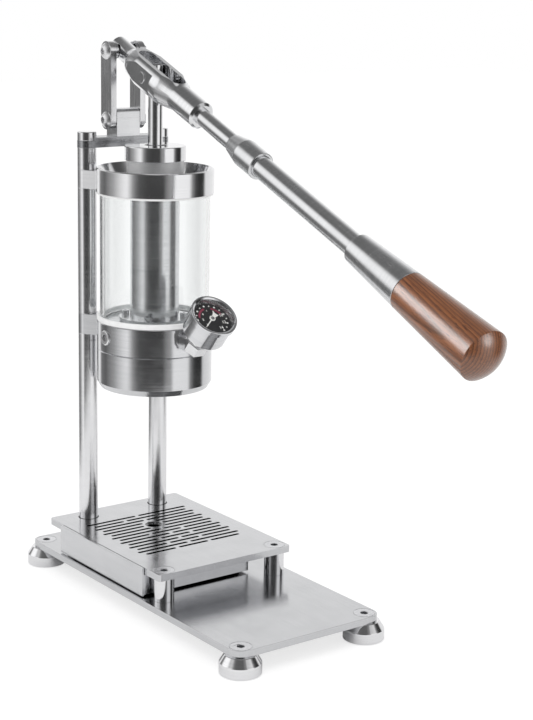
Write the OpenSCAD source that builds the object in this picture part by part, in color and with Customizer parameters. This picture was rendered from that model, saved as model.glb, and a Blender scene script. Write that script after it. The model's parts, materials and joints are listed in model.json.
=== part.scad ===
// Lever espresso machine: a base on four feet, a raised grille with a drip tray under it, two
// clamped columns, a glass water chamber round a steel brew cylinder, and a hand lever whose fork
// drives the piston rod. Millimetres. Z is up, the handle points to -Y, the machine's left is -X.
// The origin is on the floor, in the middle of the overall footprint.

/* [Base] */
// Width of the base plate
base_w = 152; // [140:1:180]
// Reach of the base plate in front of the brew axis
base_front = 239.5; // [200:0.5:300]
// Reach of the base plate behind the columns' axes
base_behind = 44.5; // [38:0.5:77]
// Thickness of the base plate
base_t = 6; // [5:0.5:10]
// Corner radius of the base plate
base_corner_r = 11; // [4:0.5:13]
// Distance from the base plate's edges to the foot screws
foot_inset = 11; // [10:0.5:16]

/* [Feet] */
// Height of a foot
foot_h = 17; // [14:0.5:30]
// Diameter of a foot at the floor
foot_d = 35.4; // [30:0.2:48]
// Diameter of a foot under the base plate
foot_top_d = 26.6; // [24:0.2:30]
// Height of the straight band at the bottom of a foot
foot_band_h = 9.9; // [4:0.1:12]
// Diameter of the rubber pad in a foot
pad_d = 26; // [18:0.5:28]
// Thickness of the rubber pad
pad_t = 2.4; // [1.5:0.1:4]
// How far the pad stands out of its foot
pad_proud = 0.6; // [0.3:0.1:1]

/* [Plate screws] */
// Thread diameter of the flat-head screws in the feet and posts
plate_screw_d = 8; // [6:0.5:8.5]
// Head diameter of the flat-head screws
plate_screw_head_d = 19; // [16:0.5:19.5]
// Head height of the flat-head screws
plate_screw_head_h = 4.8; // [3:0.1:4.9]
// Length of the flat-head screws
plate_screw_len = 16; // [12:0.5:17]
// Hex key size of the flat-head screws
plate_screw_key = 6; // [4:0.5:7]

/* [Grille] */
// Width of the grille plate
grille_w = 141; // [128:1:150]
// Reach of the grille plate in front of the brew axis
grille_front = 117.5; // [105:0.5:140]
// Reach of the grille plate behind the columns' axes
grille_behind = 16.5; // [13:0.5:31]
// Thickness of the grille plate
grille_t = 6; // [5:0.5:8]
// Corner radius of the grille plate
grille_corner_r = 3; // [1:0.5:6]
// Height of the gap between the base plate and the grille plate
grille_lift = 21; // [17:0.5:60]
// Width of a grille slot
slot_w = 3.4; // [2:0.1:5]
// Distance between the rows of slots
slot_pitch = 7.3; // [6:0.1:10]
// Width of the metal left between two slots of one row
slot_web = 3.4; // [2:0.1:6]
// Half width of the rows with two slots
wide_row_reach = 54.5; // [45:0.5:57]
// Half width of the rows with three slots
narrow_row_reach = 50.5; // [42:0.5:54]
// Rows of slots behind the drain hole
rows_behind = 4; // [2:1:4]
// Rows of slots in front of the drain hole
rows_before = 9; // [5:1:10]
// Diameter of the drain hole in the grille
drain_d = 12; // [8:0.5:16]
// Width of the bevel round the drain hole
drain_bevel = 2; // [1:0.1:3]
// Metal left between the drain hole's bevel and the slots
drain_web = 2.7; // [2:0.1:5]

/* [Front posts] */
// Diameter of the front posts
post_d = 18; // [15:0.5:20]
// Distance from the brew axis to the posts, sideways
post_x = 59.5; // [52:0.5:61]
// Distance from the brew axis to the posts, forwards
post_y = 107.5; // [98:0.5:108]
// Thread diameter of the bolts under the posts
post_bolt_d = 6; // [5:0.5:8]
// Head diameter of the bolts under the posts
post_bolt_head_d = 10; // [8.5:0.5:13]
// Head height of the bolts under the posts
post_bolt_head_h = 6; // [4:0.5:8]
// Depth of the bolts in the posts
post_bolt_grip = 8; // [6:0.5:10]
// Hex key size of the bolts under the posts
post_bolt_key = 5; // [3:0.5:5]

/* [Drip tray] */
// Reach of the tray in front of the brew axis
tray_front = 93.7; // [70:0.5:97]
// Reach of the tray to the right of the brew axis
tray_right = 41; // [25:0.5:47]
// Wall thickness of the tray
tray_wall = 1.2; // [0.8:0.1:2]
// Reach of the tray's end panel behind the brew axis
tray_panel_back = 46; // [38:0.5:60]
// Thickness of the tray's end panel
tray_panel_t = 2; // [1.5:0.1:3]
// Height of the tray's runners over the base plate
tray_runner_h = 2; // [1.5:0.1:4]
// Width of the tray's runners
tray_runner_w = 8; // [5:0.5:14]

/* [Columns] */
// Diameter of the columns
column_d = 17.5; // [15:0.5:18]
// Width that the tapered ears on the columns would reach at the brew axis
ear_root_w = 24; // [18:1:40]
// Gap between the group and the columns
column_gap = 4.75; // [3:0.25:6.5]
// Angle at the brew axis between a column and straight back
column_angle = 36; // [34:0.5:38]
// Height of the columns from the base plate to the group's ears
lower_column_h = 204.8; // [180:0.2:280]
// Height of the columns from the group's ears to the funnel ring's ears
middle_column_h = 115; // [100:1:150]
// Height of the columns from the funnel ring's ears to the crossbar
upper_column_h = 19.7; // [16:0.1:40]
// Diameter of the tie rods in the columns
tie_rod_d = 8; // [6:0.5:9]
// Outer diameter of the sleeves that carry the back of the grille
sleeve_d = 24; // [21:0.5:26]
// Room round the columns in the grille plate
column_room = 0.8; // [0.3:0.1:1.2]
// Height of the caps on the columns
column_cap_h = 8; // [6:0.5:14]
// Width across flats of the tie rod nuts
tie_nut_af = 13; // [13:0.5:15]
// Height of the tie rod nuts
tie_nut_h = 6.5; // [4:0.5:8]

/* [Crossbar and pedestal] */
// Thickness of the crossbar
crossbar_t = 9; // [7:0.5:14]
// Thickness of the crossbar's ends, where the caps sit
crossbar_end_t = 6.2; // [5:0.1:7]
// Width of the pedestal, across the links
pedestal_w = 24.4; // [20:0.2:28]
// Height of the pedestal over the crossbar
pedestal_h = 24.6; // [23:0.2:34]
// Radius of the pedestal's rounded top edges
pedestal_edge_r = 4; // [1:0.5:6]
// Height of the lower link bolt over the crossbar
link_foot_h = 14.6; // [12.5:0.1:16]
// Diameter of the pedestal's screws
pedestal_screw_d = 5; // [4:0.5:6]
// Depth of the pedestal's screws
pedestal_screw_grip = 7; // [5:0.5:7]

/* [Links] */
// Distance between the two bolts of a link
link_len = 61; // [57:0.5:72]
// Width of a link
link_w = 17.5; // [15:0.5:19]
// Thickness of a link
link_t = 5.7; // [4:0.1:8]
// Diameter of the link bolts
link_bolt_d = 7; // [6:0.5:8]
// Head diameter of the link bolts
link_bolt_head_d = 15; // [12:0.2:17]
// Head height of the link bolts
link_bolt_head_h = 4.2; // [4:0.1:6]
// Hex key size of the link bolts
link_bolt_key = 5; // [3:0.5:6]
// Width across flats of the link nuts
link_nut_af = 12; // [11.5:0.5:15]
// Height of the link nuts
link_nut_h = 2.5; // [2:0.5:8]
// Diameter of the bushes between the lever's eye and the links
link_bush_d = 16; // [12:0.5:17]

/* [Group] */
// Diameter of the group
group_d = 104; // [100:1:112]
// Height of the group's ears on the columns
group_ear_h = 18.5; // [14:0.5:20]
// How far the group head reaches below its ears
group_drop = 7.4; // [6:0.1:12]
// How far the group's top lies below the top of its ears
group_top_drop = 0.5; // [0.3:0.1:2]
// Radial width of the edge bevels on the turned group parts
group_bevel = 0.8; // [0.4:0.1:1.2]
// Height of the filter base
filter_base_h = 35.2; // [32:0.1:50]
// Height of the bevel at the bottom of the filter base
filter_bevel_h = 5.3; // [3:0.1:7]
// Radial width of the bevel at the bottom of the filter base
filter_bevel_w = 3; // [1:0.1:5]
// Diameter of the socket in the group head
socket_d = 90.6; // [88:0.2:92]
// Depth of the socket in the group head
socket_depth = 8; // [7.5:0.1:9]
// Height of the lip that holds the filter base's lugs
socket_lip_h = 2; // [1.5:0.1:2.5]
// How far the lip reaches in front of the lug groove
socket_lip_w = 2.5; // [1.5:0.1:3]
// Height of a lug on the filter base
lug_h = 2.6; // [2:0.1:3]
// Width of a lug on the filter base
lug_w = 24; // [14:0.5:30]
// Turn that frees the filter base
filter_turn = 60; // [45:1:60]
// Diameter of the outlet under the basket
outlet_d = 52; // [40:0.5:54]
// Thickness of the floor round the outlet
outlet_t = 4.6; // [3:0.1:6]

/* [Filter basket] */
// Inner diameter of the basket
basket_d = 58; // [52:0.5:58]
// Wall thickness of the basket
basket_wall = 0.8; // [0.6:0.1:1]
// Depth of the basket
basket_depth = 24; // [18:0.5:26]
// Width of the basket's rim
basket_rim_w = 5; // [4:0.1:5.2]
// Thickness of the basket's rim
basket_rim_t = 1.2; // [1:0.1:1.6]
// Thickness of the shower screen
screen_t = 1; // [0.8:0.1:1.5]
// Diameter of the holes in the screen and the basket
sieve_hole_d = 1.8; // [1.2:0.1:2.4]
// Rings of holes in the screen and the basket
sieve_rings = 4; // [2:1:4]
// Radial width of the group gasket above the basket's rim
gasket_w = 7.2; // [6.5:0.1:7.6]
// Thickness of the gasket's lip under the screen
gasket_lip_t = 2; // [1.5:0.1:2.5]

/* [Brew cylinder] */
// Outer diameter of the brew cylinder
cylinder_d = 44; // [40:0.5:46]
// Wall thickness of the brew cylinder
cylinder_wall = 3; // [2:0.1:4]
// Diameter of the flange at the foot of the cylinder
flange_d = 64; // [62:0.5:72]
// Thickness of the flange
flange_t = 3; // [2:0.1:4]
// Diameter of the flange screws
flange_screw_d = 4; // [3:0.5:4]
// Head diameter of the flange screws
flange_screw_head_d = 7; // [5.5:0.5:7]
// Head height of the flange screws
flange_screw_head_h = 4; // [2:0.5:5]
// Number of flange screws
flange_screws = 4; // [3:1:8]
// Diameter of the water ports in the back of the cylinder
port_d = 6; // [4:0.5:7]
// Diameter of the cylinder cap
cap_d = 54.8; // [50:0.2:58]
// Height of the cylinder cap's head
cap_h = 13; // [10:0.5:16]
// Diameter of the cap's skirt
skirt_d = 51; // [48.5:0.5:54]
// Height of the cap's skirt
skirt_h = 23.7; // [16:0.1:28]
// How far the cap's top lies above the crossbar's underside
cap_over_crossbar = 5.2; // [2:0.1:12]

/* [Funnel ring and glass] */
// How far the funnel ring stands out past the group
ring_overhang = 0.6; // [0:0.1:5]
// Height of the funnel ring
ring_h = 21.5; // [18:0.5:28]
// Height of the funnel ring's ears on the columns
ring_ear_h = 16.3; // [12:0.1:17.5]
// Width of the funnel ring's top edge
ring_edge_w = 1.7; // [1:0.1:3]
// How far the bore under the funnel stands in from the inside of the glass
ring_lip = 2; // [1:0.25:5]
// Height of the straight bore under the funnel
ring_bore_h = 8.5; // [7.5:0.1:11]
// How far the glass stands in from the group's side
glass_inset = 2.8; // [2.2:0.1:4.5]
// Wall thickness of the glass
glass_wall = 3.2; // [2.5:0.1:4]
// Depth of the groove in the ring that takes the glass
ring_groove = 5.4; // [4:0.1:6]
// Thickness of the glass gaskets at the ends of the glass
glass_gasket_t = 1.2; // [0.8:0.1:2]
// Height of the lower gasket's lip round the glass
low_lip_h = 4.6; // [3:0.1:7]
// Thickness of the upper gasket's lip under the funnel ring
top_lip_t = 1.9; // [1:0.1:3]
// Room for the upper gasket between the glass and the side of the ring's groove
gasket_web = 1.2; // [0.8:0.1:1.8]

/* [Piston] */
// Diameter of the piston rod
rod_d = 13; // [11:0.5:14]
// Height of the piston
piston_h = 24; // [20:0.5:28]
// Section of the piston seals
seal_section = 3; // [2:0.1:3.4]
// Depth of the seal grooves as a part of the seal's section
seal_depth_share = 0.9; // [0.8:0.01:0.95]
// Diameter of the rod's threaded end in the piston
rod_thread_d = 10; // [8:0.5:10.5]
// Depth of the rod's threaded end in the piston
rod_grip = 16; // [12:0.5:18]
// Width across flats of the lock nut over the piston
lock_nut_af = 17; // [16:0.5:22]
// Height of the lock nut over the piston
lock_nut_h = 6; // [4:0.5:8]
// Gap between the piston and the shower screen at rest
piston_rest_gap = 1.8; // [1:0.1:4]
// Outer diameter of the rod bush
bush_d = 19; // [17:0.5:24]
// Height of the rod wiper on top of the bush
wiper_h = 2.6; // [2:0.1:3]
// How far the rod stands above its cross pin
rod_head = 11; // [9:0.5:15]

/* [Lever] */
// Angle of the lever below level, at rest
lever_rest_angle = 21.6; // [15:0.1:26]
// Lift of the lever from rest to its upper stop
lever_lift = 48; // [30:1:48]
// Diameter of the arm behind the fork
arm_d = 18; // [17:0.2:20]
// Length of the arm behind its eye
arm_tail = 11.5; // [9:0.5:14]
// Distance of the lever's eye in front of the link bolt, at rest
eye_lead = 2.3; // [1.8:0.1:2.8]
// Turned diameter of the fork
fork_d = 33.6; // [32:0.2:36]
// Diameter where the fork's slow taper starts
fork_root_d = 28; // [22:0.2:31]
// Width of the fork across its side flats
fork_w = 29; // [28:0.2:31]
// Height of the fork across its upper and lower flats
fork_h = 25.6; // [24.4:0.2:28]
// Start of the fork's slow taper behind the cross pin
fork_back = 30; // [28:0.5:33]
// Length of the steep cone between the arm and the fork
fork_root_len = 10; // [5:0.5:14]
// Length of the fork's slow taper
fork_taper_len = 16; // [8:0.5:20]
// End of the fork's straight part in front of the cross pin
fork_front = 23; // [17:0.5:26]
// Length of the cone between the fork and the neck
fork_cone_len = 20; // [12:0.5:24]
// Start of the side flats behind the cross pin
flat_back = 26; // [16:0.5:27]
// End of the side flats in front of the cross pin
flat_front = 15; // [9:0.5:16]
// Width of the slot through the fork
fork_slot_w = 14; // [13.6:0.1:16]
// Reach of the slot behind the cross pin
slot_back = 27; // [18:0.5:28]
// Reach of the slot in front of the cross pin
slot_front = 40; // [20:0.5:41]
// Diameter of the neck
neck_d = 24; // [20:0.2:25]
// Length of the neck from the cross pin
neck_end = 78; // [66:0.5:90]
// Bevel at the end of the neck
neck_bevel = 2; // [0.5:0.1:3]
// Diameter of the cross pin
cross_pin_d = 8; // [6:0.5:8.5]
// Head diameter of the cross pin
cross_pin_head_d = 10; // [9.5:0.5:12.5]
// Height of the cross pin's head
cross_pin_head_h = 1.6; // [1:0.1:3]
// Diameter of the lever's thin rod
lever_rod_d = 14.5; // [12:0.5:15]
// Start of the collar, from the cross pin
collar_start = 128; // [115:0.5:140]
// Length of the collar's cone
collar_cone_len = 17; // [10:0.5:20]
// Length of the collar's straight part
collar_len = 24; // [16:0.5:30]
// Diameter of the collar
collar_d = 24; // [21:0.5:28]
// Diameter of the lever's tube
lever_tube_d = 19; // [16:0.5:19.5]
// Wall thickness of the lever's tube
lever_tube_wall = 1.6; // [1:0.1:2.4]
// Depth of the rod and the tube in their sockets
lever_socket = 14; // [10:0.5:16]
// Start of the ferrule, from the cross pin
ferrule_start = 303.5; // [280:0.5:330]
// Length of the ferrule
ferrule_len = 63.5; // [50:0.5:80]
// Diameter of the ferrule at its start
ferrule_d = 25.4; // [22:0.2:28]
// Diameter of the handle at the ferrule
handle_back_d = 32.4; // [28:0.2:35]
// Diameter of the handle at its end
handle_front_d = 42; // [37:0.2:46]
// Length of the handle without its domed end
handle_len = 89; // [75:0.5:120]
// Height of the handle's domed end
handle_dome = 9; // [6:0.2:14]
// Diameter of the tang in the handle
tang_d = 8; // [6:0.5:10]
// Depth of the tang in the handle
tang_grip = 56; // [40:1:66]

/* [Gauge] */
// Tilt of the gauge's face above level
gauge_tilt = 49.5; // [35:0.5:60]
// Distance from the group's surface to the corner of the gauge's elbow
elbow_reach = 15; // [13:0.5:22]
// Height of the gauge port over the group's underside
gauge_port_h = 13.4; // [10:0.1:15]
// Diameter of the elbow's stub and leg
elbow_d = 18; // [16:0.5:18]
// Length of the elbow's leg over its corner
elbow_leg = 11; // [9:0.5:16]
// Width across flats of the elbow's block
elbow_af = 18; // [17:0.5:20]
// Height of the elbow's block
elbow_block_h = 10; // [8:0.5:12]
// Diameter of the plug in the elbow's block
elbow_plug_d = 8; // [5:0.5:9]
// Length of the plug in the elbow's block
elbow_plug_len = 3; // [2:0.1:3]
// Thread diameter of the elbow's two threads
elbow_thread_d = 10; // [8:0.5:11]
// Width across flats of the gauge's stem
stem_af = 14; // [12:0.5:16]
// Height of the hex on the gauge's stem
stem_h = 7; // [5:0.5:10]
// Diameter of the gauge's case
case_d = 39.6; // [36:0.2:44]
// Depth of the gauge's case
case_h = 21; // [15:0.2:26]
// Wall thickness of the gauge's case
case_wall = 1.2; // [0.8:0.1:2]
// Diameter of the gauge's bezel
bezel_d = 42.8; // [41.6:0.2:47]
// Height of the gauge's bezel
bezel_h = 5; // [4:0.1:7]
// Width of the bezel's lip over the lens
bezel_lip = 3; // [2:0.1:4]
// Thickness of the gauge's lens
lens_t = 1.6; // [1:0.1:2]
// Thickness of the gauge's dial
dial_t = 0.6; // [0.4:0.1:1]
// Depth of the dial below the case's rim
dial_depth = 3.6; // [3:0.1:5]
// Length of the needle from its shaft
needle_len = 13.2; // [10:0.2:14]

/* [Side plug] */
// Diameter of the plug in the group's side
side_plug_d = 11; // [8:0.5:12]
// Hex key size of the plug
side_plug_key = 6; // [4:0.5:7]
// Diameter of the plug's head
side_plug_head_d = 13.4; // [13:0.2:15]
// Thickness of the plug's head
side_plug_head_t = 1.8; // [1:0.1:3]

/* [Hidden] */
$fn = 96;

// Clearances
fit = 0.05;          // running fit on a radius
face_gap = 0.3;      // between flat faces of pieces that move past each other
slack = 0.3;         // round a bolt in its hole
cut = 1;             // overrun of a cutter past the face it leaves

// Places of the columns, and what they set
column_ring_r = group_d / 2 + column_gap + column_d / 2;
column_x = column_ring_r * sin(column_angle);
column_y = column_ring_r * cos(column_angle);
base_back = column_y + base_behind;
grille_back = column_y + grille_behind;

// Heights of the clamped stack on the columns
base_top = foot_h + base_t;
grille_low = base_top + grille_lift;
grille_top = grille_low + grille_t;
group_ear_low = base_top + lower_column_h;
group_ear_top = group_ear_low + group_ear_h;
ring_low = group_ear_top + middle_column_h;
ring_ear_top = ring_low + ring_ear_h;
crossbar_low = ring_ear_top + upper_column_h;
crossbar_top = crossbar_low + crossbar_t;
crossbar_end_top = crossbar_low + crossbar_end_t;
column_cap_web = 2;
column_cap_bore = column_cap_h - column_cap_web;

// Glass and funnel ring round the group
glass_d = group_d - 2 * glass_inset;
ring_d = group_d + 2 * ring_overhang;
ring_bore_d = glass_d - 2 * glass_wall - 2 * ring_lip;

// Heights inside the group
head_low = group_ear_low - group_drop;
glass_floor = group_ear_top - group_top_drop;
socket_top = head_low + socket_depth;
filter_top = head_low - face_gap;
filter_low = filter_top - filter_base_h;
gasket_low = head_low + face_gap;
screen_low = gasket_low + gasket_lip_t;
cylinder_low = screen_low + screen_t;
basket_top = gasket_low - face_gap;
basket_rim_low = basket_top - basket_rim_t;
basket_low = basket_top - basket_depth;
ledge_z = basket_rim_low - face_gap;
basket_or = basket_d / 2 + basket_wall;
basket_rim_r = basket_d / 2 + basket_rim_w;
gasket_r = basket_rim_r + 2 * fit + gasket_w - basket_rim_w;
screen_r = basket_d / 2 + basket_wall / 2;
gasket_lip_r = basket_d / 2 - basket_wall;
tenon_r = socket_d / 2 - face_gap;
tenon_bore_r = gasket_r + 2 * face_gap;
groove_r = socket_d / 2 + socket_lip_w;
lug_r = groove_r - face_gap;
lug_low = socket_top - 2 * face_gap - lug_h;
lug_count = 3;
tenon_top = socket_top - 2 * face_gap;

// Brew cylinder and its cap
cylinder_r = cylinder_d / 2;
bore_r = cylinder_r - cylinder_wall;
cap_top = crossbar_low + cap_over_crossbar;
cap_low = cap_top - cap_h;
skirt_low = cap_low - skirt_h;
cap_web = 2;
cylinder_top = cap_low - cap_web;
flange_screw_ring_r = (flange_d / 2 + cylinder_r) / 2;
flange_screw_grip = 8;
bush_low = cap_low - cap_web;
wiper_sink = 0.4;
bush_top = cap_top - wiper_h - wiper_sink;

// Piston
piston_r = bore_r - fit;
piston_low = cylinder_low + piston_rest_gap;
piston_top = piston_low + piston_h;
seal_count = 2;
seal_space_share = 0.28;
rod_low = piston_top + lock_nut_h;

// Lever geometry: the eye stands over the pedestal, the cross pin over the brew axis
link_x = pedestal_w / 2 + face_gap;
link_foot_z = crossbar_top + link_foot_h;
eye_z = link_foot_z + link_len;
eye_y = column_y - eye_lead;
arm = eye_y / cos(lever_rest_angle);
arm_r = arm_d / 2;
pin_z = eye_z - eye_y * tan(lever_rest_angle);
rod_top = pin_z + rod_head;
// The piston climbs in proportion to the lever's turn. The eye's bore is opened by the error of
// that straight ratio, which stands in for the swing of the links, and by a little room besides.
top_angle = lever_rest_angle - lever_lift;
stroke = arm * (sin(lever_rest_angle) - sin(top_angle));
eye_room = 0.3;
eye_bore_r = link_bolt_d / 2 + eye_lead + eye_room;
handle_start = ferrule_start + ferrule_len;
handle_end = handle_start + handle_len;
handle_r = handle_front_d / 2;
dome_r = (handle_r * handle_r + handle_dome * handle_dome) / (2 * handle_dome);
dome_centre = handle_end + handle_dome - dome_r;

// The brew axis lies behind the origin, so that the origin is the middle of the footprint
front_reach = dome_centre * cos(lever_rest_angle) + dome_r;
foot_y_back = base_back - foot_inset;
foot_y_front = base_front - foot_inset;
foot_x = base_w / 2 - foot_inset;
back_reach = foot_y_back + foot_d / 2;
brew_y = (front_reach - back_reach) / 2;

// Gauge, measured along its own axis from the corner of the elbow
elbow_y = group_d / 2 + elbow_reach;
elbow_z = head_low + gauge_port_h;
stem_low = elbow_leg;
case_low = stem_low + stem_h;
case_top = case_low + case_h;
bezel_skirt = 1.2;
bezel_low = case_top - (bezel_h - lens_t - bezel_skirt);
lens_low = case_top;
dial_top = case_top - dial_depth;
dial_r = case_d / 2 - case_wall - fit;
needle_gap = 0.8;
needle_t = 0.5;
needle_w = 1.3;
needle_hub_r = 2.8;
needle_tail_len = 7;
needle_tail_w = 5.6;
needle_shaft_r = 0.7;
needle_start_angle = 128;

// Drip tray
tray_left = grille_w / 2 + face_gap;
tray_back = column_y - sleeve_d / 2 - 2 * face_gap;
tray_low = base_top + tray_runner_h;
tray_top = grille_low - 2 * face_gap;
tray_depth = tray_front + tray_back;

// Shared shapes

module on_brew_axis(z) {
    translate([0, brew_y, z]) children();
}

module at_columns(z) {
    for (side = [-1, 1]) translate([side * column_x, column_y + brew_y, z]) children();
}

module at_feet(z) {
    for (side = [-1, 1], y = [foot_y_back, -foot_y_front]) {
        translate([side * foot_x, y + brew_y, z]) children();
    }
}

module at_posts(z) {
    for (side = [-1, 1]) translate([side * post_x, brew_y - post_y, z]) children();
}

// Local z runs along the lever towards its handle, local y is up, the origin is the cross pin
module on_lever(s) {
    on_brew_axis(pin_z) rotate([90 + lever_rest_angle, 0, 0]) translate([0, 0, s]) children();
}

// Local z runs along the gauge's axis towards its face, the origin is the corner of the elbow
module on_gauge(s) {
    translate([0, brew_y - elbow_y, elbow_z]) rotate([90 - gauge_tilt, 0, 0]) translate([0, 0, s]) {
        children();
    }
}

// A flat shape drawn in (back, up) and given a thickness to the right from x
module side_plate(x, t) {
    translate([x, 0, 0]) rotate([90, 0, 90]) linear_extrude(t) children();
}

module along_x(x) {
    translate([x, 0, 0]) rotate([0, 90, 0]) children();
}

module rounded_rect(w, l, r) {
    square([w - 2 * r, l], center = true);
    square([w, l - 2 * r], center = true);
    for (sx = [-1, 1], sy = [-1, 1]) {
        translate([sx * (w / 2 - r), sy * (l / 2 - r)]) circle(r);
    }
}

module plate_outline(w, front, back, r) {
    translate([0, (back - front) / 2 + brew_y]) rounded_rect(w, front + back, r);
}

module tube(outer_r, inner_r, h) {
    difference() {
        cylinder(h, r = outer_r);
        translate([0, 0, -cut]) cylinder(h + 2 * cut, r = inner_r);
    }
}

module hex(af, h) {
    cylinder(h, r = af / sqrt(3), $fn = 6);
}

module hex_nut(af, h, hole_r) {
    difference() {
        hex(af, h);
        translate([0, 0, -cut]) cylinder(h + 2 * cut, r = hole_r);
    }
}

// A flat-head screw with its face at z = 0, pointing down
module flat_head_screw(d, head_d, head_h, len, key) {
    difference() {
        union() {
            translate([0, 0, -head_h]) cylinder(head_h, d / 2, head_d / 2);
            translate([0, 0, -len]) cylinder(len - head_h / 2, r = d / 2);
        }
        translate([0, 0, -head_h]) hex(key, head_h + cut);
    }
}

module flat_head_hole(d, head_d, head_h, depth) {
    grow = head_d / d;
    translate([0, 0, -head_h]) cylinder(head_h, d / 2 + fit, head_d / 2 + fit);
    cylinder(cut, r = head_d / 2 + fit * grow);
    translate([0, 0, -depth]) cylinder(depth, r = d / 2 + fit);
}

// A socket-head bolt with its head at z = 0 and below, and its shank upwards
module cap_bolt(d, head_d, head_h, grip, key) {
    difference() {
        union() {
            translate([0, 0, -head_h]) cylinder(head_h, r = head_d / 2);
            cylinder(grip, r = d / 2);
        }
        translate([0, 0, -head_h - cut]) hex(key, head_h * socket_share + cut);
    }
}

socket_share = 0.6;

// Rings of holes, each ring with six more than the one inside it
module sieve(r) {
    circle(sieve_hole_d / 2);
    for (k = [1:sieve_rings], i = [0:6 * k - 1]) {
        rotate(i * 60 / k) translate([k * r / sieve_rings, 0]) circle(sieve_hole_d / 2, $fn = 16);
    }
}

// Two ears that reach out from a round part to the columns; their sides touch the column's circle
// and a circle of the root's width on the brew axis
module column_ears(h) {
    end_r = column_d / 2;
    root_r = ear_root_w / 2;
    lean = acos((root_r - end_r) / column_ring_r);
    for (side = [-1, 1]) rotate(-side * column_angle) {
        translate([0, column_ring_r, 0]) cylinder(h, r = end_r);
        linear_extrude(h) polygon([
            [-root_r * sin(lean), root_r * cos(lean)], [root_r * sin(lean), root_r * cos(lean)],
            [end_r * sin(lean), column_ring_r + end_r * cos(lean)],
            [-end_r * sin(lean), column_ring_r + end_r * cos(lean)]]);
    }
}

module column_bores(h) {
    for (side = [-1, 1]) {
        translate([side * column_x, column_y, -cut]) cylinder(h + 2 * cut, r = tie_rod_d / 2 + slack);
    }
}

// A turned drum with small bevels on its top edge
module drum(r, h, bevel) {
    cylinder(h - bevel, r = r);
    translate([0, 0, h - bevel]) cylinder(bevel, r, r - bevel);
}

// Base and feet

module base_plate() {
    color("#c9cbcd") difference() {
        translate([0, 0, foot_h]) linear_extrude(base_t) {
            plate_outline(base_w, base_front, base_back, base_corner_r);
        }
        at_feet(base_top) flat_head_hole(plate_screw_d, plate_screw_head_d, plate_screw_head_h, 2 * base_t);
        at_posts(foot_h - cut) cylinder(base_t + 2 * cut, r = post_bolt_d / 2 + slack);
        at_columns(foot_h - cut) cylinder(base_t + 2 * cut, r = tie_rod_d / 2 + slack);
    }
}

module feet() {
    band = foot_band_h - pad_proud;
    color("#d4d6d8") at_feet(pad_proud) difference() {
        union() {
            cylinder(band, r = foot_d / 2);
            translate([0, 0, band]) cylinder(foot_h - foot_band_h, foot_d / 2, foot_top_d / 2);
        }
        translate([0, 0, -cut]) cylinder(pad_t - pad_proud + cut, r = pad_d / 2 + fit);
        cylinder(foot_h, r = plate_screw_d / 2 + fit);
    }
}

module foot_pads() {
    color("#26272a") at_feet(0) cylinder(pad_t, r = pad_d / 2);
}

module foot_screws() {
    color("#b9bcbf") at_feet(base_top) {
        flat_head_screw(plate_screw_d, plate_screw_head_d, plate_screw_head_h,
            plate_screw_len, plate_screw_key);
    }
}

// Grille, posts and tray

module slot_row(from, to) {
    r = slot_w / 2;
    translate([from + r, -r]) square([to - from - slot_w, slot_w]);
    for (x = [from + r, to - r]) translate([x, 0]) circle(r, $fn = 24);
}

// Even rows hold two slots and odd rows three; rows that meet the drain hole stop short of it
module slot_field() {
    keep_r = drain_d / 2 + drain_bevel + drain_web;
    for (k = [-rows_before:rows_behind]) {
        wide = k % 2 == 0;
        reach = wide ? wide_row_reach : narrow_row_reach;
        y = k * slot_pitch;
        half_web = slot_web / 2;
        third = (2 * reach - 2 * slot_web) / 3;
        translate([0, y]) {
            if (abs(y) < keep_r) {
                inner = sqrt(keep_r * keep_r - y * y);
                slot_row(-reach, -inner);
                slot_row(inner, reach);
            } else if (wide) {
                slot_row(-reach, -half_web);
                slot_row(half_web, reach);
            } else {
                for (i = [0:2]) {
                    start = -reach + i * (third + slot_web);
                    slot_row(start, start + third);
                }
            }
        }
    }
}

module grille_plate() {
    color("#c6c8ca") difference() {
        translate([0, 0, grille_low]) linear_extrude(grille_t) difference() {
            plate_outline(grille_w, grille_front, grille_back, grille_corner_r);
            translate([0, brew_y]) slot_field();
        }
        on_brew_axis(grille_low - cut) cylinder(grille_t + 2 * cut, r = drain_d / 2);
        on_brew_axis(grille_top - drain_bevel) {
            cylinder(drain_bevel + fit, drain_d / 2, drain_d / 2 + drain_bevel + fit);
        }
        at_posts(grille_top) {
            flat_head_hole(plate_screw_d, plate_screw_head_d, plate_screw_head_h, 2 * grille_t);
        }
        at_columns(grille_low - cut) cylinder(grille_t + 2 * cut, r = column_d / 2 + column_room);
    }
}

module front_posts() {
    color("#d2d4d6") at_posts(base_top) difference() {
        cylinder(grille_lift, r = post_d / 2);
        translate([0, 0, grille_lift + grille_t - plate_screw_len - fit]) {
            cylinder(plate_screw_len, r = plate_screw_d / 2 + fit);
        }
        translate([0, 0, -cut]) cylinder(post_bolt_grip + cut + fit, r = post_bolt_d / 2 + fit);
    }
}

module post_screws() {
    color("#b9bcbf") at_posts(grille_top) {
        flat_head_screw(plate_screw_d, plate_screw_head_d, plate_screw_head_h,
            plate_screw_len, plate_screw_key);
    }
}

module post_bolts() {
    color("#9a9da1") at_posts(foot_h) {
        cap_bolt(post_bolt_d, post_bolt_head_d, post_bolt_head_h, base_t + post_bolt_grip, post_bolt_key);
    }
}

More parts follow.
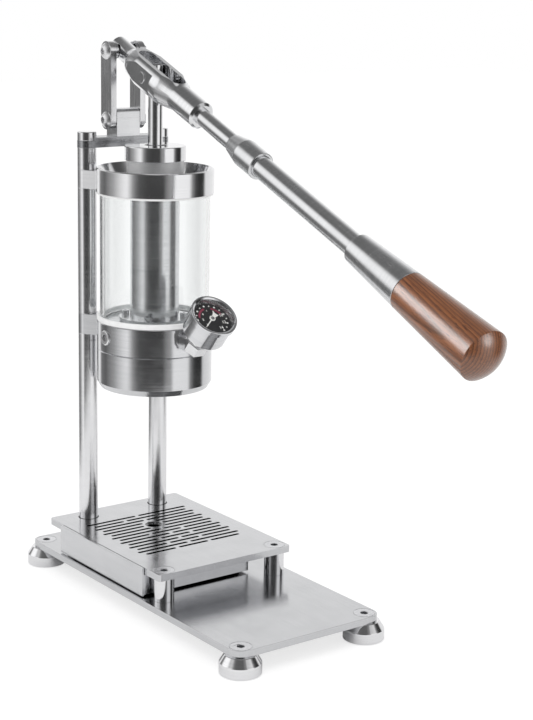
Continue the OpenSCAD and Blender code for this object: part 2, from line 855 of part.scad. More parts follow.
// An open sheet-metal box; its left end panel closes the side of the grille and is the pull
module drip_tray() {
    tray_w = tray_left + tray_right;
    color("#c4c6c8") translate([-tray_left, brew_y - tray_front, 0]) {
        translate([0, 0, tray_low]) difference() {
            cube([tray_w, tray_depth, tray_top - tray_low]);
            translate([-cut, tray_wall, tray_wall]) {
                cube([tray_w - tray_wall + cut, tray_depth - 2 * tray_wall, tray_top]);
            }
        }
        translate([-tray_panel_t, 0, tray_low - tray_runner_h / 2]) {
            cube([tray_panel_t, tray_front + tray_panel_back,
                grille_top - face_gap - tray_low + tray_runner_h / 2]);
        }
    }
}

module tray_runners() {
    inset = 2 * tray_runner_w;
    color("#2b2c2f") for (y = [-tray_front + inset, tray_back - inset]) {
        translate([-tray_left + tray_wall, brew_y + y - tray_runner_w / 2, base_top + face_gap / 2]) {
            cube([tray_left + tray_right - 2 * tray_wall, tray_runner_w, tray_runner_h - face_gap / 2]);
        }
    }
}

// Columns

module column_sleeves() {
    color("#a9acb0") at_columns(base_top) tube(sleeve_d / 2, column_d / 2 + slack, grille_lift);
}

module column(side, z, h) {
    color("#cdcfd1") translate([side * column_x, column_y + brew_y, z]) {
        tube(column_d / 2, tie_rod_d / 2 + slack, h);
    }
}

module left_lower_column() column(-1, base_top, lower_column_h);
module right_lower_column() column(1, base_top, lower_column_h);
module left_middle_column() column(-1, group_ear_top, middle_column_h);
module right_middle_column() column(1, group_ear_top, middle_column_h);
module left_upper_column() column(-1, ring_ear_top, upper_column_h);
module right_upper_column() column(1, ring_ear_top, upper_column_h);

module tie_rods() {
    low = foot_h - tie_nut_h;
    color("#94979b") at_columns(low) {
        cylinder(crossbar_end_top + column_cap_bore - low, r = tie_rod_d / 2);
    }
}

module tie_rod_nuts() {
    color("#94979b") at_columns(foot_h - tie_nut_h) hex_nut(tie_nut_af, tie_nut_h, tie_rod_d / 2 + fit);
}

module column_caps() {
    bevel = column_d / 20;
    color("#d2d4d6") at_columns(crossbar_end_top) difference() {
        drum(column_d / 2, column_cap_h, bevel);
        translate([0, 0, -cut]) cylinder(column_cap_bore + cut + fit, r = tie_rod_d / 2 + fit);
    }
}

// Crossbar, pedestal and links

module crossbar() {
    color("#c6c8ca") on_brew_axis(crossbar_low) difference() {
        union() {
            translate([-column_x, column_y - column_d / 2, 0]) cube([2 * column_x, column_d, crossbar_t]);
            for (side = [-1, 1]) {
                translate([side * column_x, column_y, 0]) cylinder(crossbar_t, r = column_d / 2);
            }
        }
        for (side = [-1, 1]) {
            translate([side * column_x, column_y, crossbar_end_t]) {
                cylinder(crossbar_t, r = column_d / 2 + face_gap);
            }
        }
        column_bores(crossbar_t);
        for (side = [-1, 1]) {
            translate([side * pedestal_w / 4, column_y, -cut]) {
                cylinder(crossbar_t + 2 * cut, r = pedestal_screw_d / 2 + fit);
            }
            translate([side * pedestal_w / 4, column_y, -fit]) {
                cylinder(pedestal_screw_d + fit, r = pedestal_screw_d);
            }
        }
    }
}

module pedestal() {
    r = pedestal_edge_r;
    half = column_d / 2;
    color("#d8dadb") on_brew_axis(crossbar_top) difference() {
        side_plate(-pedestal_w / 2, pedestal_w) translate([column_y, 0]) {
            translate([-half, 0]) square([2 * half, pedestal_h - r]);
            translate([-half + r, 0]) square([2 * half - 2 * r, pedestal_h]);
            for (side = [-1, 1]) translate([side * (half - r), pedestal_h - r]) circle(r);
        }
        translate([0, column_y, link_foot_h]) along_x(-pedestal_w / 2 - cut) {
            cylinder(pedestal_w + 2 * cut, r = link_bolt_d / 2 + fit);
        }
        for (side = [-1, 1]) translate([side * pedestal_w / 4, column_y, -cut]) {
            cylinder(pedestal_screw_grip + cut + fit, r = pedestal_screw_d / 2 + fit);
        }
    }
}

module pedestal_screws() {
    r = pedestal_screw_d / 2;
    color("#94979b") on_brew_axis(crossbar_low) for (side = [-1, 1]) {
        translate([side * pedestal_w / 4, column_y, 0]) difference() {
            union() {
                cylinder(2 * r, r = 2 * r - fit);
                cylinder(crossbar_t + pedestal_screw_grip, r = r);
            }
            translate([0, 0, -cut]) hex(1.6 * r, 1.2 * r + cut);
        }
    }
}

module link(x) {
    color("#b4b7ba") on_brew_axis(link_foot_z) side_plate(x, link_t) translate([column_y, 0]) {
        difference() {
            union() {
                translate([-link_w / 2, 0]) square([link_w, link_len]);
                for (z = [0, link_len]) translate([0, z]) circle(link_w / 2);
            }
            for (z = [0, link_len]) translate([0, z]) circle(link_bolt_d / 2 + fit);
        }
    }
}

module left_link() link(-link_x - link_t);
module right_link() link(link_x);

// Round heads on the left, a domed cap of a ball with a hex socket
module link_bolts() {
    head_r = link_bolt_head_d / 2;
    ball_r = (head_r * head_r + link_bolt_head_h * link_bolt_head_h) / (2 * link_bolt_head_h);
    outer = link_x + link_t;
    color("#c2c5c8") for (z = [link_foot_z, eye_z]) {
        translate([0, column_y + brew_y, z]) {
            along_x(-outer) cylinder(2 * outer + link_nut_h, r = link_bolt_d / 2);
            difference() {
                intersection() {
                    translate([-outer - link_bolt_head_h + ball_r, 0, 0]) sphere(ball_r);
                    along_x(-outer - link_bolt_head_h) cylinder(link_bolt_head_h, r = head_r);
                }
                along_x(-outer - link_bolt_head_h - cut) rotate(30) {
                    hex(link_bolt_key, link_bolt_head_h * socket_share + cut);
                }
            }
        }
    }
}

module link_nuts() {
    color("#a9acb0") for (z = [link_foot_z, eye_z]) {
        translate([0, column_y + brew_y, z]) along_x(link_x + link_t) {
            hex_nut(link_nut_af, link_nut_h, link_bolt_d / 2 + fit);
        }
    }
}

// Rings on the upper link bolt that fill the room between the lever's arm and the links
module link_bushes() {
    len = link_x - arm_r - face_gap;
    color("#8f9296") translate([0, column_y + brew_y, eye_z]) for (x = [-link_x, link_x - len]) {
        along_x(x) tube(link_bush_d / 2, link_bolt_d / 2 + fit, len);
    }
}

// Group

module gauge_port(depth) {
    translate([0, -group_d / 2 + depth, gauge_port_h]) rotate([90, 0, 0]) {
        cylinder(depth + cut, r = elbow_thread_d / 2 + fit);
    }
}

module side_port(r, depth) {
    translate([-group_d / 2 - cut, 0, gauge_port_h]) rotate([0, 90, 0]) cylinder(depth + cut, r = r);
}

side_plug_depth = 9;
plug_seat = group_d / 2 - sqrt(group_d * group_d - side_plug_head_d * side_plug_head_d) / 2;
elbow_grip = 8;

module group_head() {
    h = glass_floor - head_low;
    r = group_d / 2;
    color("#d0d2d4") on_brew_axis(head_low) difference() {
        union() {
            drum(r, h, group_bevel);
            translate([0, 0, group_drop]) column_ears(group_ear_h);
        }
        translate([0, 0, h]) cylinder(group_top_drop + cut, r = r + face_gap);
        translate([0, 0, -cut]) cylinder(h + cut, r = cylinder_r + fit);
        translate([0, 0, -cut]) cylinder(socket_depth + cut, r = socket_d / 2);
        translate([0, 0, socket_lip_h]) cylinder(socket_depth - socket_lip_h, r = groove_r);
        for (i = [0:lug_count - 1]) rotate(i * 360 / lug_count + filter_turn) {
            translate([0, -lug_w / 2 - face_gap, -cut]) {
                cube([groove_r, lug_w + 2 * face_gap, socket_lip_h + 2 * cut]);
            }
        }
        translate([0, 0, group_drop]) column_bores(group_ear_h);
        gauge_port(elbow_grip + fit);
        translate([0, fit - group_d / 2 + elbow_grip, gauge_port_h]) rotate([-90, 0, 0]) {
            cylinder(r - cylinder_r - elbow_grip, r = elbow_thread_d / 4);
        }
        side_port(side_plug_d / 2 + fit, side_plug_depth);
        side_port(side_plug_head_d / 2 + slack, plug_seat);
        for (i = [0:flange_screws - 1]) rotate((i + 0.5) * 360 / flange_screws) {
            translate([flange_screw_ring_r, 0, h - flange_screw_grip - fit]) {
                cylinder(flange_screw_grip + cut, r = flange_screw_d / 2 + fit);
            }
        }
    }
}

// A screwed plug whose round head sits on a flat seat in the group's side
module side_plug() {
    len = side_plug_depth - plug_seat + side_plug_head_t;
    color("#c2c5c8") on_brew_axis(elbow_z) along_x(plug_seat - side_plug_head_t - group_d / 2) {
        difference() {
            union() {
                mirror([0, 0, 1]) translate([0, 0, -side_plug_head_t]) {
                    drum(side_plug_head_d / 2, side_plug_head_t, group_bevel);
                }
                cylinder(len - fit, r = side_plug_d / 2);
            }
            translate([0, 0, -cut]) rotate(30) hex(side_plug_key, len * socket_share + cut);
        }
    }
}

// A soft ring in the ceiling of the socket; its lip carries the shower screen
module group_gasket() {
    color("#3a3c40") on_brew_axis(gasket_low) difference() {
        cylinder(socket_top - gasket_low, r = gasket_r);
        translate([0, 0, -cut]) cylinder(socket_depth + cut, r = gasket_lip_r);
        translate([0, 0, gasket_lip_t]) cylinder(socket_depth, r = screen_r + fit);
    }
}

module shower_screen() {
    color("#b7babd") on_brew_axis(screen_low) linear_extrude(screen_t) difference() {
        circle(screen_r);
        sieve(gasket_lip_r - 2 * sieve_hole_d);
    }
}

module filter_basket() {
    color("#b7babd") on_brew_axis(basket_low) {
        linear_extrude(basket_wall) difference() {
            circle(basket_or);
            sieve(basket_d / 2 - 2 * sieve_hole_d);
        }
        translate([0, 0, basket_wall]) tube(basket_or, basket_d / 2, basket_depth - basket_wall);
        translate([0, 0, basket_depth - basket_rim_t]) tube(basket_rim_r, basket_d / 2, basket_rim_t);
    }
}

module filter_base() {
    r = group_d / 2;
    h = filter_base_h;
    color("#cfd1d3") on_brew_axis(filter_low) difference() {
        union() {
            cylinder(filter_bevel_h, r - filter_bevel_w, r);
            translate([0, 0, filter_bevel_h]) drum(r, h - filter_bevel_h, group_bevel);
            cylinder(tenon_top - filter_low, r = tenon_r);
            for (i = [0:lug_count - 1]) rotate(i * 360 / lug_count) intersection() {
                translate([0, 0, lug_low - filter_low]) cylinder(lug_h, r = lug_r);
                translate([0, -lug_w / 2, 0]) cube([r, lug_w, 2 * h]);
            }
        }
        translate([0, 0, -cut]) cylinder(2 * h, r = outlet_d / 2);
        translate([0, 0, outlet_t]) cylinder(2 * h, r = basket_or + face_gap);
        translate([0, 0, ledge_z - filter_low]) cylinder(2 * h, r = tenon_bore_r);
    }
}

// Brew cylinder

module brew_cylinder() {
    h = cylinder_top - cylinder_low;
    port_z = piston_low + stroke - port_d - cylinder_low;
    color("#c9cbce") on_brew_axis(cylinder_low) difference() {
        union() {
            cylinder(h, r = cylinder_r);
            translate([0, 0, glass_floor - cylinder_low]) cylinder(flange_t, r = flange_d / 2);
        }
        translate([0, 0, -cut]) cylinder(h + 2 * cut, r = bore_r);
        for (turn = [-30, 0, 30]) translate([0, 0, port_z]) rotate([-90, 0, turn]) {
            cylinder(cylinder_d, r = port_d / 2);
        }
        for (i = [0:flange_screws - 1]) rotate((i + 0.5) * 360 / flange_screws) {
            translate([flange_screw_ring_r, 0, glass_floor - cylinder_low - cut]) {
                cylinder(flange_t + 2 * cut, r = flange_screw_d / 2 + fit);
            }
        }
    }
}

module flange_screws() {
    color("#a9acb0") on_brew_axis(glass_floor + flange_t) for (i = [0:flange_screws - 1]) {
        rotate((i + 0.5) * 360 / flange_screws) translate([flange_screw_ring_r, 0, 0]) mirror([0, 0, 1]) {
            cap_bolt(flange_screw_d, flange_screw_head_d, flange_screw_head_h,
                flange_t + flange_screw_grip, flange_screw_d * socket_share);
        }
    }
}

module cylinder_cap() {
    bevel = cap_h / 13;
    color("#d4d6d8") on_brew_axis(skirt_low) difference() {
        union() {
            cylinder(skirt_h, r = skirt_d / 2);
            translate([0, 0, skirt_h]) drum(cap_d / 2, cap_h, bevel);
        }
        translate([0, 0, -cut]) cylinder(cylinder_top - skirt_low + cut, r = cylinder_r + fit);
        translate([0, 0, skirt_h - 2 * cap_web]) cylinder(skirt_h + cap_h, r = bush_d / 2 + fit);
    }
}

module rod_bush() {
    color("#b08a4a") on_brew_axis(bush_low) tube(bush_d / 2, rod_d / 2 + fit, bush_top - bush_low);
}

module rod_wiper() {
    color("#2b2c2f") on_brew_axis(bush_top) tube(bush_d / 2, rod_d / 2 + fit, wiper_h);
}

// Funnel ring and glass

module funnel_ring() {
    mouth_r = ring_d / 2 - ring_edge_w;
    color("#d2d4d6") on_brew_axis(ring_low) difference() {
        union() {
            drum(ring_d / 2, ring_h, group_bevel);
            column_ears(ring_ear_h);
        }
        translate([0, 0, -cut]) cylinder(ring_h + 2 * cut, r = ring_bore_d / 2);
        translate([0, 0, ring_bore_h]) {
            cylinder(ring_h - ring_bore_h + fit, ring_bore_d / 2, mouth_r + fit);
        }
        translate([0, 0, -cut]) difference() {
            cylinder(ring_groove + cut, r = glass_d / 2 + gasket_web);
            cylinder(ring_groove + cut, r = glass_d / 2 - glass_wall - fit);
        }
        column_bores(ring_ear_h);
    }
}

glass_low = glass_floor + glass_gasket_t;
glass_top = ring_low + ring_groove - glass_gasket_t;

module glass_cylinder() {
    color("#dfe7ea", 0.35) on_brew_axis(glass_low) {
        tube(glass_d / 2, glass_d / 2 - glass_wall, glass_top - glass_low);
    }
}

// White rings that the glass stands in: the lower one's lip is flush with the group's side, the
// upper one fills the ring's groove and has a lip under the ring
module glass_gaskets() {
    lip_r = group_d / 2 - fit;
    glass_r = glass_d / 2;
    color("#e8e8e6") {
        on_brew_axis(glass_floor) difference() {
            cylinder(low_lip_h, r = lip_r);
            translate([0, 0, glass_gasket_t]) cylinder(low_lip_h, r = glass_r + fit);
            translate([0, 0, -cut]) cylinder(low_lip_h, r = glass_r - glass_wall);
        }
        on_brew_axis(ring_low - top_lip_t) difference() {
            union() {
                cylinder(top_lip_t, r = lip_r);
                cylinder(top_lip_t + ring_groove, r = glass_r + gasket_web - fit);
            }
            translate([0, 0, -cut]) {
                cylinder(top_lip_t + ring_groove - glass_gasket_t + cut, r = glass_r + fit);
            }
            cylinder(top_lip_t + ring_groove + cut, r = glass_r - glass_wall);
        }
    }
}

// Piston

module piston() {
    groove_r = piston_r - seal_section * seal_depth_share;
    color("#d9d4c4") on_brew_axis(piston_low) difference() {
        cylinder(piston_h, r = piston_r);
        for (i = [0:seal_count - 1]) {
            translate([0, 0, piston_h * (0.5 + (i - 0.5) * 2 * seal_space_share) - seal_section / 2 - fit]) {
                tube(cylinder_d, groove_r, seal_section + 2 * fit);
            }
        }
        translate([0, 0, piston_h - rod_grip - fit]) {
            cylinder(rod_grip + cut, r = rod_thread_d / 2 + fit);
        }
    }
}

module piston_seals() {
    ring_r = piston_r - seal_section / 2;
    color("#2b2c2f") on_brew_axis(piston_low) for (i = [0:seal_count - 1]) {
        translate([0, 0, piston_h * (0.5 + (i - 0.5) * 2 * seal_space_share)]) {
            rotate_extrude() intersection() {
                translate([ring_r, 0]) circle(seal_section / 2, $fn = 32);
                translate([piston_r - seal_section * seal_depth_share + fit, -seal_section]) {
                    square([seal_section, 2 * seal_section]);
                }
            }
        }
    }
}

module piston_rod() {
    bevel = rod_d / 13;
    color("#d6d8da") difference() {
        union() {
            on_brew_axis(rod_low) drum(rod_d / 2, rod_top - rod_low, bevel);
            on_brew_axis(piston_top - rod_grip) cylinder(rod_grip + lock_nut_h, r = rod_thread_d / 2);
        }
        on_brew_axis(pin_z) along_x(-rod_d) cylinder(2 * rod_d, r = cross_pin_d / 2 + fit);
    }
}

module lock_nut() {
    color("#a9acb0") on_brew_axis(piston_top) hex_nut(lock_nut_af, lock_nut_h, rod_thread_d / 2 + fit);
}

// Lever

// The turned outline of arm, fork and neck, before its flats are milled
module fork_turning() {
    bevel = arm_r / 9;
    tail = -arm - arm_tail;
    root = -fork_back - fork_root_len;
    on_lever(0) rotate_extrude() polygon([[0, tail], [arm_r - bevel, tail], [arm_r, tail + bevel],
        [arm_r, root], [fork_root_d / 2, -fork_back], [fork_d / 2, fork_taper_len - fork_back],
        [fork_d / 2, fork_front], [neck_d / 2, fork_front + fork_cone_len],
        [neck_d / 2, neck_end - neck_bevel], [neck_d / 2 - neck_bevel, neck_end], [0, neck_end]]);
}

module lever_fork() {
    len = arm + arm_tail + neck_end;
    flat_len = flat_back + flat_front;
    color("#cfd1d3") difference() {
        fork_turning();
        for (side = [-1, 1]) {
            on_lever(-flat_back) translate([side * (fork_w / 2 + fork_d), 0, flat_len / 2]) {
                cube([2 * fork_d, 2 * fork_d, flat_len], center = true);
            }
            on_lever(-arm - arm_tail) translate([0, side * (fork_h / 2 + fork_d), len / 2]) {
                cube([2 * fork_d, 2 * fork_d, len], center = true);
            }
        }
        on_lever(-arm) along_x(-fork_d) cylinder(2 * fork_d, r = eye_bore_r);
        on_lever(0) rotate([-90, 0, 0]) translate([0, 0, -fork_h]) linear_extrude(2 * fork_h) {
            fork_slot();
        }
        on_lever(0) along_x(-fork_w) cylinder(2 * fork_w, r = cross_pin_d / 2 + fit);
        on_lever(0) along_x(-fork_w / 2 - cut) {
            cylinder(cut + cross_pin_head_h / 2, r = cross_pin_head_d / 2 + slack);
        }
        on_lever(neck_end - lever_socket - fit) {
            cylinder(lever_socket + cut, r = lever_rod_d / 2 + fit);
        }
    }
}

module fork_slot() {
    r = fork_slot_w / 2;
    translate([-r, -slot_front + r]) square([2 * r, slot_front + slot_back - 2 * r]);
    for (y = [-slot_front + r, slot_back - r]) translate([0, y]) circle(r);
}

module cross_pin() {
    color("#b9bcbf") on_lever(0) {
        along_x(-fork_w / 2) cylinder(fork_w, r = cross_pin_d / 2);
        along_x(-fork_w / 2 - cross_pin_head_h / 2 + fit) {
            cylinder(cross_pin_head_h - 2 * fit, r = cross_pin_head_d / 2);
        }
    }
}

module lever_rod() {
    color("#c9cbce") on_lever(neck_end - lever_socket) {
        cylinder(collar_start - neck_end + 2 * lever_socket, r = lever_rod_d / 2);
    }
}

collar_end = collar_start + collar_cone_len + collar_len;

module lever_collar() {
    nose_r = lever_rod_d / 2 + lever_tube_wall / 2;
    color("#cfd1d3") on_lever(collar_start) difference() {
        union() {
            cylinder(collar_cone_len, nose_r, collar_d / 2);
            translate([0, 0, collar_cone_len]) {
                drum(collar_d / 2, collar_len, neck_bevel / 2);
            }
        }
        translate([0, 0, -cut]) cylinder(lever_socket + cut + fit, r = lever_rod_d / 2 + fit);
        translate([0, 0, collar_cone_len + collar_len - lever_socket - fit]) {
            cylinder(lever_socket + cut, r = lever_tube_d / 2 + fit);
        }
    }
}

module lever_tube() {
    len = ferrule_start - collar_end + 2 * lever_socket;
    color("#c9cbce") on_lever(collar_end - lever_socket) {
        tube(lever_tube_d / 2, lever_tube_d / 2 - lever_tube_wall, len);
    }
}

// The ferrule's back end holds the tube, and its tang runs on into the handle
module ferrule() {
    color("#c6c8ca") on_lever(ferrule_start) {
        difference() {
            cylinder(ferrule_len, ferrule_d / 2, handle_back_d / 2);
            translate([0, 0, -cut]) cylinder(lever_socket + cut + fit, r = lever_tube_d / 2 + fit);
        }
        translate([0, 0, ferrule_len]) cylinder(tang_grip, r = tang_d / 2);
    }
}

module wooden_handle() {
    color("#8a5336") on_lever(0) difference() {
        union() {
            translate([0, 0, handle_start]) cylinder(handle_len, handle_back_d / 2, handle_r);
            intersection() {
                translate([0, 0, dome_centre]) sphere(dome_r);
                translate([0, 0, handle_end]) cylinder(handle_dome + cut, r = handle_r);
            }
        }
        translate([0, 0, handle_start - cut]) cylinder(tang_grip + cut + fit, r = tang_d / 2 + fit);
    }
}

// Gauge

module gauge_elbow() {
    half = elbow_block_h / 2;
    color("#c9cbce") difference() {
        union() {
            elbow_stub();
            translate([0, brew_y - elbow_y, elbow_z]) rotate([-90, 0, 0]) {
                cylinder(elbow_y - group_d / 2 + elbow_grip, r = elbow_thread_d / 2);
            }
            on_gauge(-half) hex(elbow_af, elbow_block_h);
            on_gauge(0) cylinder(elbow_leg, r = elbow_d / 2 * stub_share);
        }
        on_gauge(-half - cut) cylinder(elbow_plug_len + cut + fit, r = elbow_plug_d / 2 + fit);
        on_gauge(elbow_leg - stem_grip - fit) {
            cylinder(stem_grip + cut, r = elbow_thread_d / 2 + fit);
        }
    }
}

stub_share = 0.9;
stem_grip = 5;

// The stub is cut to the round of the group
module elbow_stub() {
    difference() {
        translate([0, brew_y - elbow_y, elbow_z]) rotate([-90, 0, 0]) {
            cylinder(elbow_y - group_d / 4, r = elbow_d / 2 * stub_share);
        }
        on_brew_axis(elbow_z - elbow_d) cylinder(2 * elbow_d, r = group_d / 2);
    }
}

module elbow_plug() {
    key = elbow_plug_d / 2;
    color("#b4b7ba") on_gauge(-elbow_block_h / 2) difference() {
        cylinder(elbow_plug_len, r = elbow_plug_d / 2);
        translate([0, 0, -cut]) hex(key, elbow_plug_len * socket_share + cut);
    }
}

module gauge_case() {
    color("#c9cbce") on_gauge(case_low) difference() {
        union() {
            cylinder(case_h, r = case_d / 2);
            translate([0, 0, -stem_h]) hex(stem_af, stem_h);
            translate([0, 0, -stem_h - stem_grip]) {
                cylinder(stem_grip + stem_h, r = elbow_thread_d / 2);
            }
        }
        translate([0, 0, case_wall]) cylinder(case_h, r = case_d / 2 - case_wall);
    }
}

module gauge_bezel() {
    color("#d2d4d6") on_gauge(bezel_low) difference() {
        drum(bezel_d / 2, bezel_h, group_bevel);
        translate([0, 0, -cut]) cylinder(bezel_h + 2 * cut, r = bezel_d / 2 - bezel_lip);
        translate([0, 0, -cut]) cylinder(bezel_h - bezel_skirt + cut, r = case_d / 2 + fit);
    }
}

module gauge_lens() {
    color("#e6eef0", 0.35) on_gauge(lens_low) cylinder(lens_t, r = case_d / 2);
}

// The dial plate stands on the movement, a stepped drum that carries the needle's shaft
module gauge_dial() {
    movement_r = dial_r / 2;
    color("#1d1e21") on_gauge(dial_top) difference() {
        union() {
            translate([0, 0, -dial_t]) cylinder(dial_t, r = dial_r);
            translate([0, 0, case_low + case_wall - dial_top]) {
                cylinder(dial_top - case_low - case_wall, r = movement_r);
            }
        }
        translate([0, 0, -case_h / 2]) cylinder(case_h, r = needle_shaft_r + fit);
    }
}

// The needle rests at the start of the scale, down to the left, with a broad tail behind it
module gauge_needle() {
    color("#f1f1ee") on_gauge(dial_top + needle_gap) rotate(needle_start_angle) {
        linear_extrude(needle_t) {
            circle(needle_hub_r);
            polygon([[-needle_w / 2, 0], [needle_w / 2, 0],
                [needle_w / 4, needle_len], [-needle_w / 4, needle_len]]);
            polygon([[-needle_w / 2, 0], [needle_w / 2, 0],
                [needle_tail_w / 2, -needle_tail_len], [-needle_tail_w / 2, -needle_tail_len]]);
        }
        translate([0, 0, -needle_gap - case_h / 4]) {
            cylinder(needle_gap + case_h / 4, r = needle_shaft_r);
        }
    }
}

base_plate();
feet();
foot_pads();
foot_screws();
grille_plate();
front_posts();
post_screws();
post_bolts();
drip_tray();
tray_runners();
column_sleeves();
left_lower_column();
right_lower_column();
left_middle_column();
right_middle_column();
left_upper_column();
right_upper_column();
tie_rods();
tie_rod_nuts();
column_caps();
crossbar();
pedestal();
pedestal_screws();
left_link();
right_link();
link_bolts();
link_nuts();
link_bushes();
group_head();
side_plug();
group_gasket();
shower_screen();
filter_basket();
filter_base();
brew_cylinder();
flange_screws();
cylinder_cap();
rod_bush();
rod_wiper();
funnel_ring();
glass_cylinder();
glass_gaskets();
piston();
piston_seals();
piston_rod();
lock_nut();
lever_fork();
cross_pin();
lever_rod();
lever_collar();
lever_tube();
ferrule();
wooden_handle();
gauge_elbow();
elbow_plug();
gauge_case();
gauge_bezel();
gauge_lens();
gauge_dial();
gauge_needle();
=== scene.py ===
import json
import math

import bmesh
import bpy
import numpy as np
from mathutils import Matrix, Vector

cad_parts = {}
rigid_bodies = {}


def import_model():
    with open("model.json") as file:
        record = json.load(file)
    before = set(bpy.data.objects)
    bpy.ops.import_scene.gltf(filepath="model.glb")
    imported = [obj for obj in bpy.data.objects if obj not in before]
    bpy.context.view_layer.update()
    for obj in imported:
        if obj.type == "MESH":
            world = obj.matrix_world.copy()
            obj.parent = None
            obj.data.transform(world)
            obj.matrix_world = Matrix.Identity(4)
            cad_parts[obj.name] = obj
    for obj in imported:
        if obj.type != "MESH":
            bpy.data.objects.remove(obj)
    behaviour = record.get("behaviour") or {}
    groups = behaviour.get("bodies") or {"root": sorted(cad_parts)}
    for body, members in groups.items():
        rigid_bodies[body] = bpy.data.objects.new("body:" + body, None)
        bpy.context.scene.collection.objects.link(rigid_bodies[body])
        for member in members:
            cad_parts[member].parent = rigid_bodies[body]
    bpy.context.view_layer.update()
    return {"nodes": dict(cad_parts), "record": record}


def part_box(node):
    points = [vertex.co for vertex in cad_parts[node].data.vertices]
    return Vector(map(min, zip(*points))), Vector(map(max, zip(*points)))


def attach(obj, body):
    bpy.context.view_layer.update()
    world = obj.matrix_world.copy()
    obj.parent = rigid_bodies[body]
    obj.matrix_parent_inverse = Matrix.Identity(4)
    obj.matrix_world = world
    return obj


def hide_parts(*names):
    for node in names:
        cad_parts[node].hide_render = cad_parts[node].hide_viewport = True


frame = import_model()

record = frame["record"]
nodeBody = {node: body for body, nodes in record["behaviour"]["bodies"].items() for node in nodes}
joints = {joint["name"]: joint for joint in record["behaviour"]["joints"]}
mm = 0.001

leverPin = tuple(joints["lever_pivot"]["pos_m"])       # the cross pin that the lever turns on
leverTilt = math.radians(21.6)                         # slope of the lever at rest
leverLine = (0.0, -math.cos(leverTilt), -math.sin(leverTilt))
brewAxis = (0.0, leverPin[1], 0.0)                     # the vertical axis of cylinder and piston
gaugeLine = tuple(-a for a in joints["needle_turn"]["axis"])
gaugeTilt = math.atan2(-gaugeLine[1], gaugeLine[2])    # lean of the gauge's face from level
needleHeight = 0.0362                                  # from the corner of the gauge's elbow to the needle
gaugeRoot = tuple(p - needleHeight * a for p, a in zip(joints["needle_turn"]["pos_m"], gaugeLine))
upright = (0.0, 0.0, 1.0)


def spanOf(node):
    # lowest and highest level of a node, in mm
    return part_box(node)[0][2] / mm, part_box(node)[1][2] / mm


def corners(node, radius):
    # upright axes of equal round pieces that stand at the corners of a node's box; radius in mm
    low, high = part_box(node)
    ends = [(low[k] + radius * mm, high[k] - radius * mm) for k in (0, 1)]
    xs, ys = (pair if pair[1] - pair[0] > mm else (sum(pair) / 2,) for pair in ends)
    return [((x, y, 0.0), upright) for x in xs for y in ys]


# camera: the photograph's place and angle

cameraSet = {"azimuth": -37.04, "elevation": 13.15, "roll": 1.12, "lens": 85.0, "reach": 60.0,
             "place": (-0.82624, -1.099249, 0.56121)}


def makeCamera(c):
    a, e, r = (math.radians(c[key]) for key in ("azimuth", "elevation", "roll"))
    back = Vector((math.sin(a) * math.cos(e), -math.cos(a) * math.cos(e), math.sin(e)))
    level = Vector((math.cos(a), math.sin(a), 0.0))
    right = math.cos(r) * level + math.sin(r) * back.cross(level)
    turn = Matrix((right, back.cross(right), back)).transposed().to_4x4()
    data = bpy.data.cameras.new("photoCamera")
    data.lens, data.clip_end = c["lens"], c["reach"]
    camera = bpy.data.objects.new("photoCamera", data)
    camera.matrix_world = Matrix.Translation(c["place"]) @ turn
    bpy.context.scene.collection.objects.link(camera)
    bpy.context.scene.camera = camera


makeCamera(cameraSet)
bpy.context.scene.view_settings.view_transform = "Standard"
print("camera set")


# material tools

noiseSpan = (0.3, 0.7)      # nearly all of a noise texture's values lie between these
wallSpan = (0.5, 0.95)      # how level a face is, from its normal: a wall below the first, a floor past the second


def linear(hexText):
    # sRGB hex to the linear colour that shaders take
    s = np.array([int(hexText[i:i + 2], 16) for i in (1, 3, 5)]) / 255
    return (*np.where(s <= 0.04045, s / 12.92, ((s + 0.055) / 1.055) ** 2.4).tolist(), 1.0)


def addNode(tree, kind, inputs=(), **settings):
    # one node with its settings; an input, by place or by name, takes a value, a socket, or a node, which
    # stands for its first output in use (a Mix node's numbers are its inputs 2 and 3, its colours 6 and 7)
    node = tree.nodes.new(kind)
    for key, value in settings.items():
        setattr(node, key, value)
    for key, value in inputs.items() if isinstance(inputs, dict) else enumerate(inputs):
        if isinstance(value, bpy.types.Node):
            value = next(socket for socket in value.outputs if socket.enabled)
        if isinstance(value, bpy.types.NodeSocket):
            tree.links.new(value, node.inputs[key])
        else:
            node.inputs[key].default_value = value
    return node


def blankMaterial(name):
    material = bpy.data.materials.new(name)
    material.use_nodes = True
    material.node_tree.nodes.clear()
    return material, material.node_tree


def localCoords(tree, centre=(0, 0, 0), turn=(0, 0, 0)):
    # object coordinates brought to a piece's own axis, with its length along Z
    place = addNode(tree, "ShaderNodeTexCoord")
    return addNode(tree, "ShaderNodeMapping", {"Vector": place.outputs["Object"], "Location": centre,
                                               "Rotation": turn}, vector_type="TEXTURE")


def grain(tree, coords, pitch, detail=3.0, rough=0.55, warp=0.0):
    # noise whose grain has the given size in mm along X, Y and Z
    scaled = addNode(tree, "ShaderNodeMapping", {"Vector": coords, "Scale": tuple(1 / (p * mm) for p in pitch)})
    return addNode(tree, "ShaderNodeTexNoise", {"Vector": scaled, "Scale": 1.0, "Detail": detail, "Roughness": rough,
                                                "Distortion": warp})


# metals

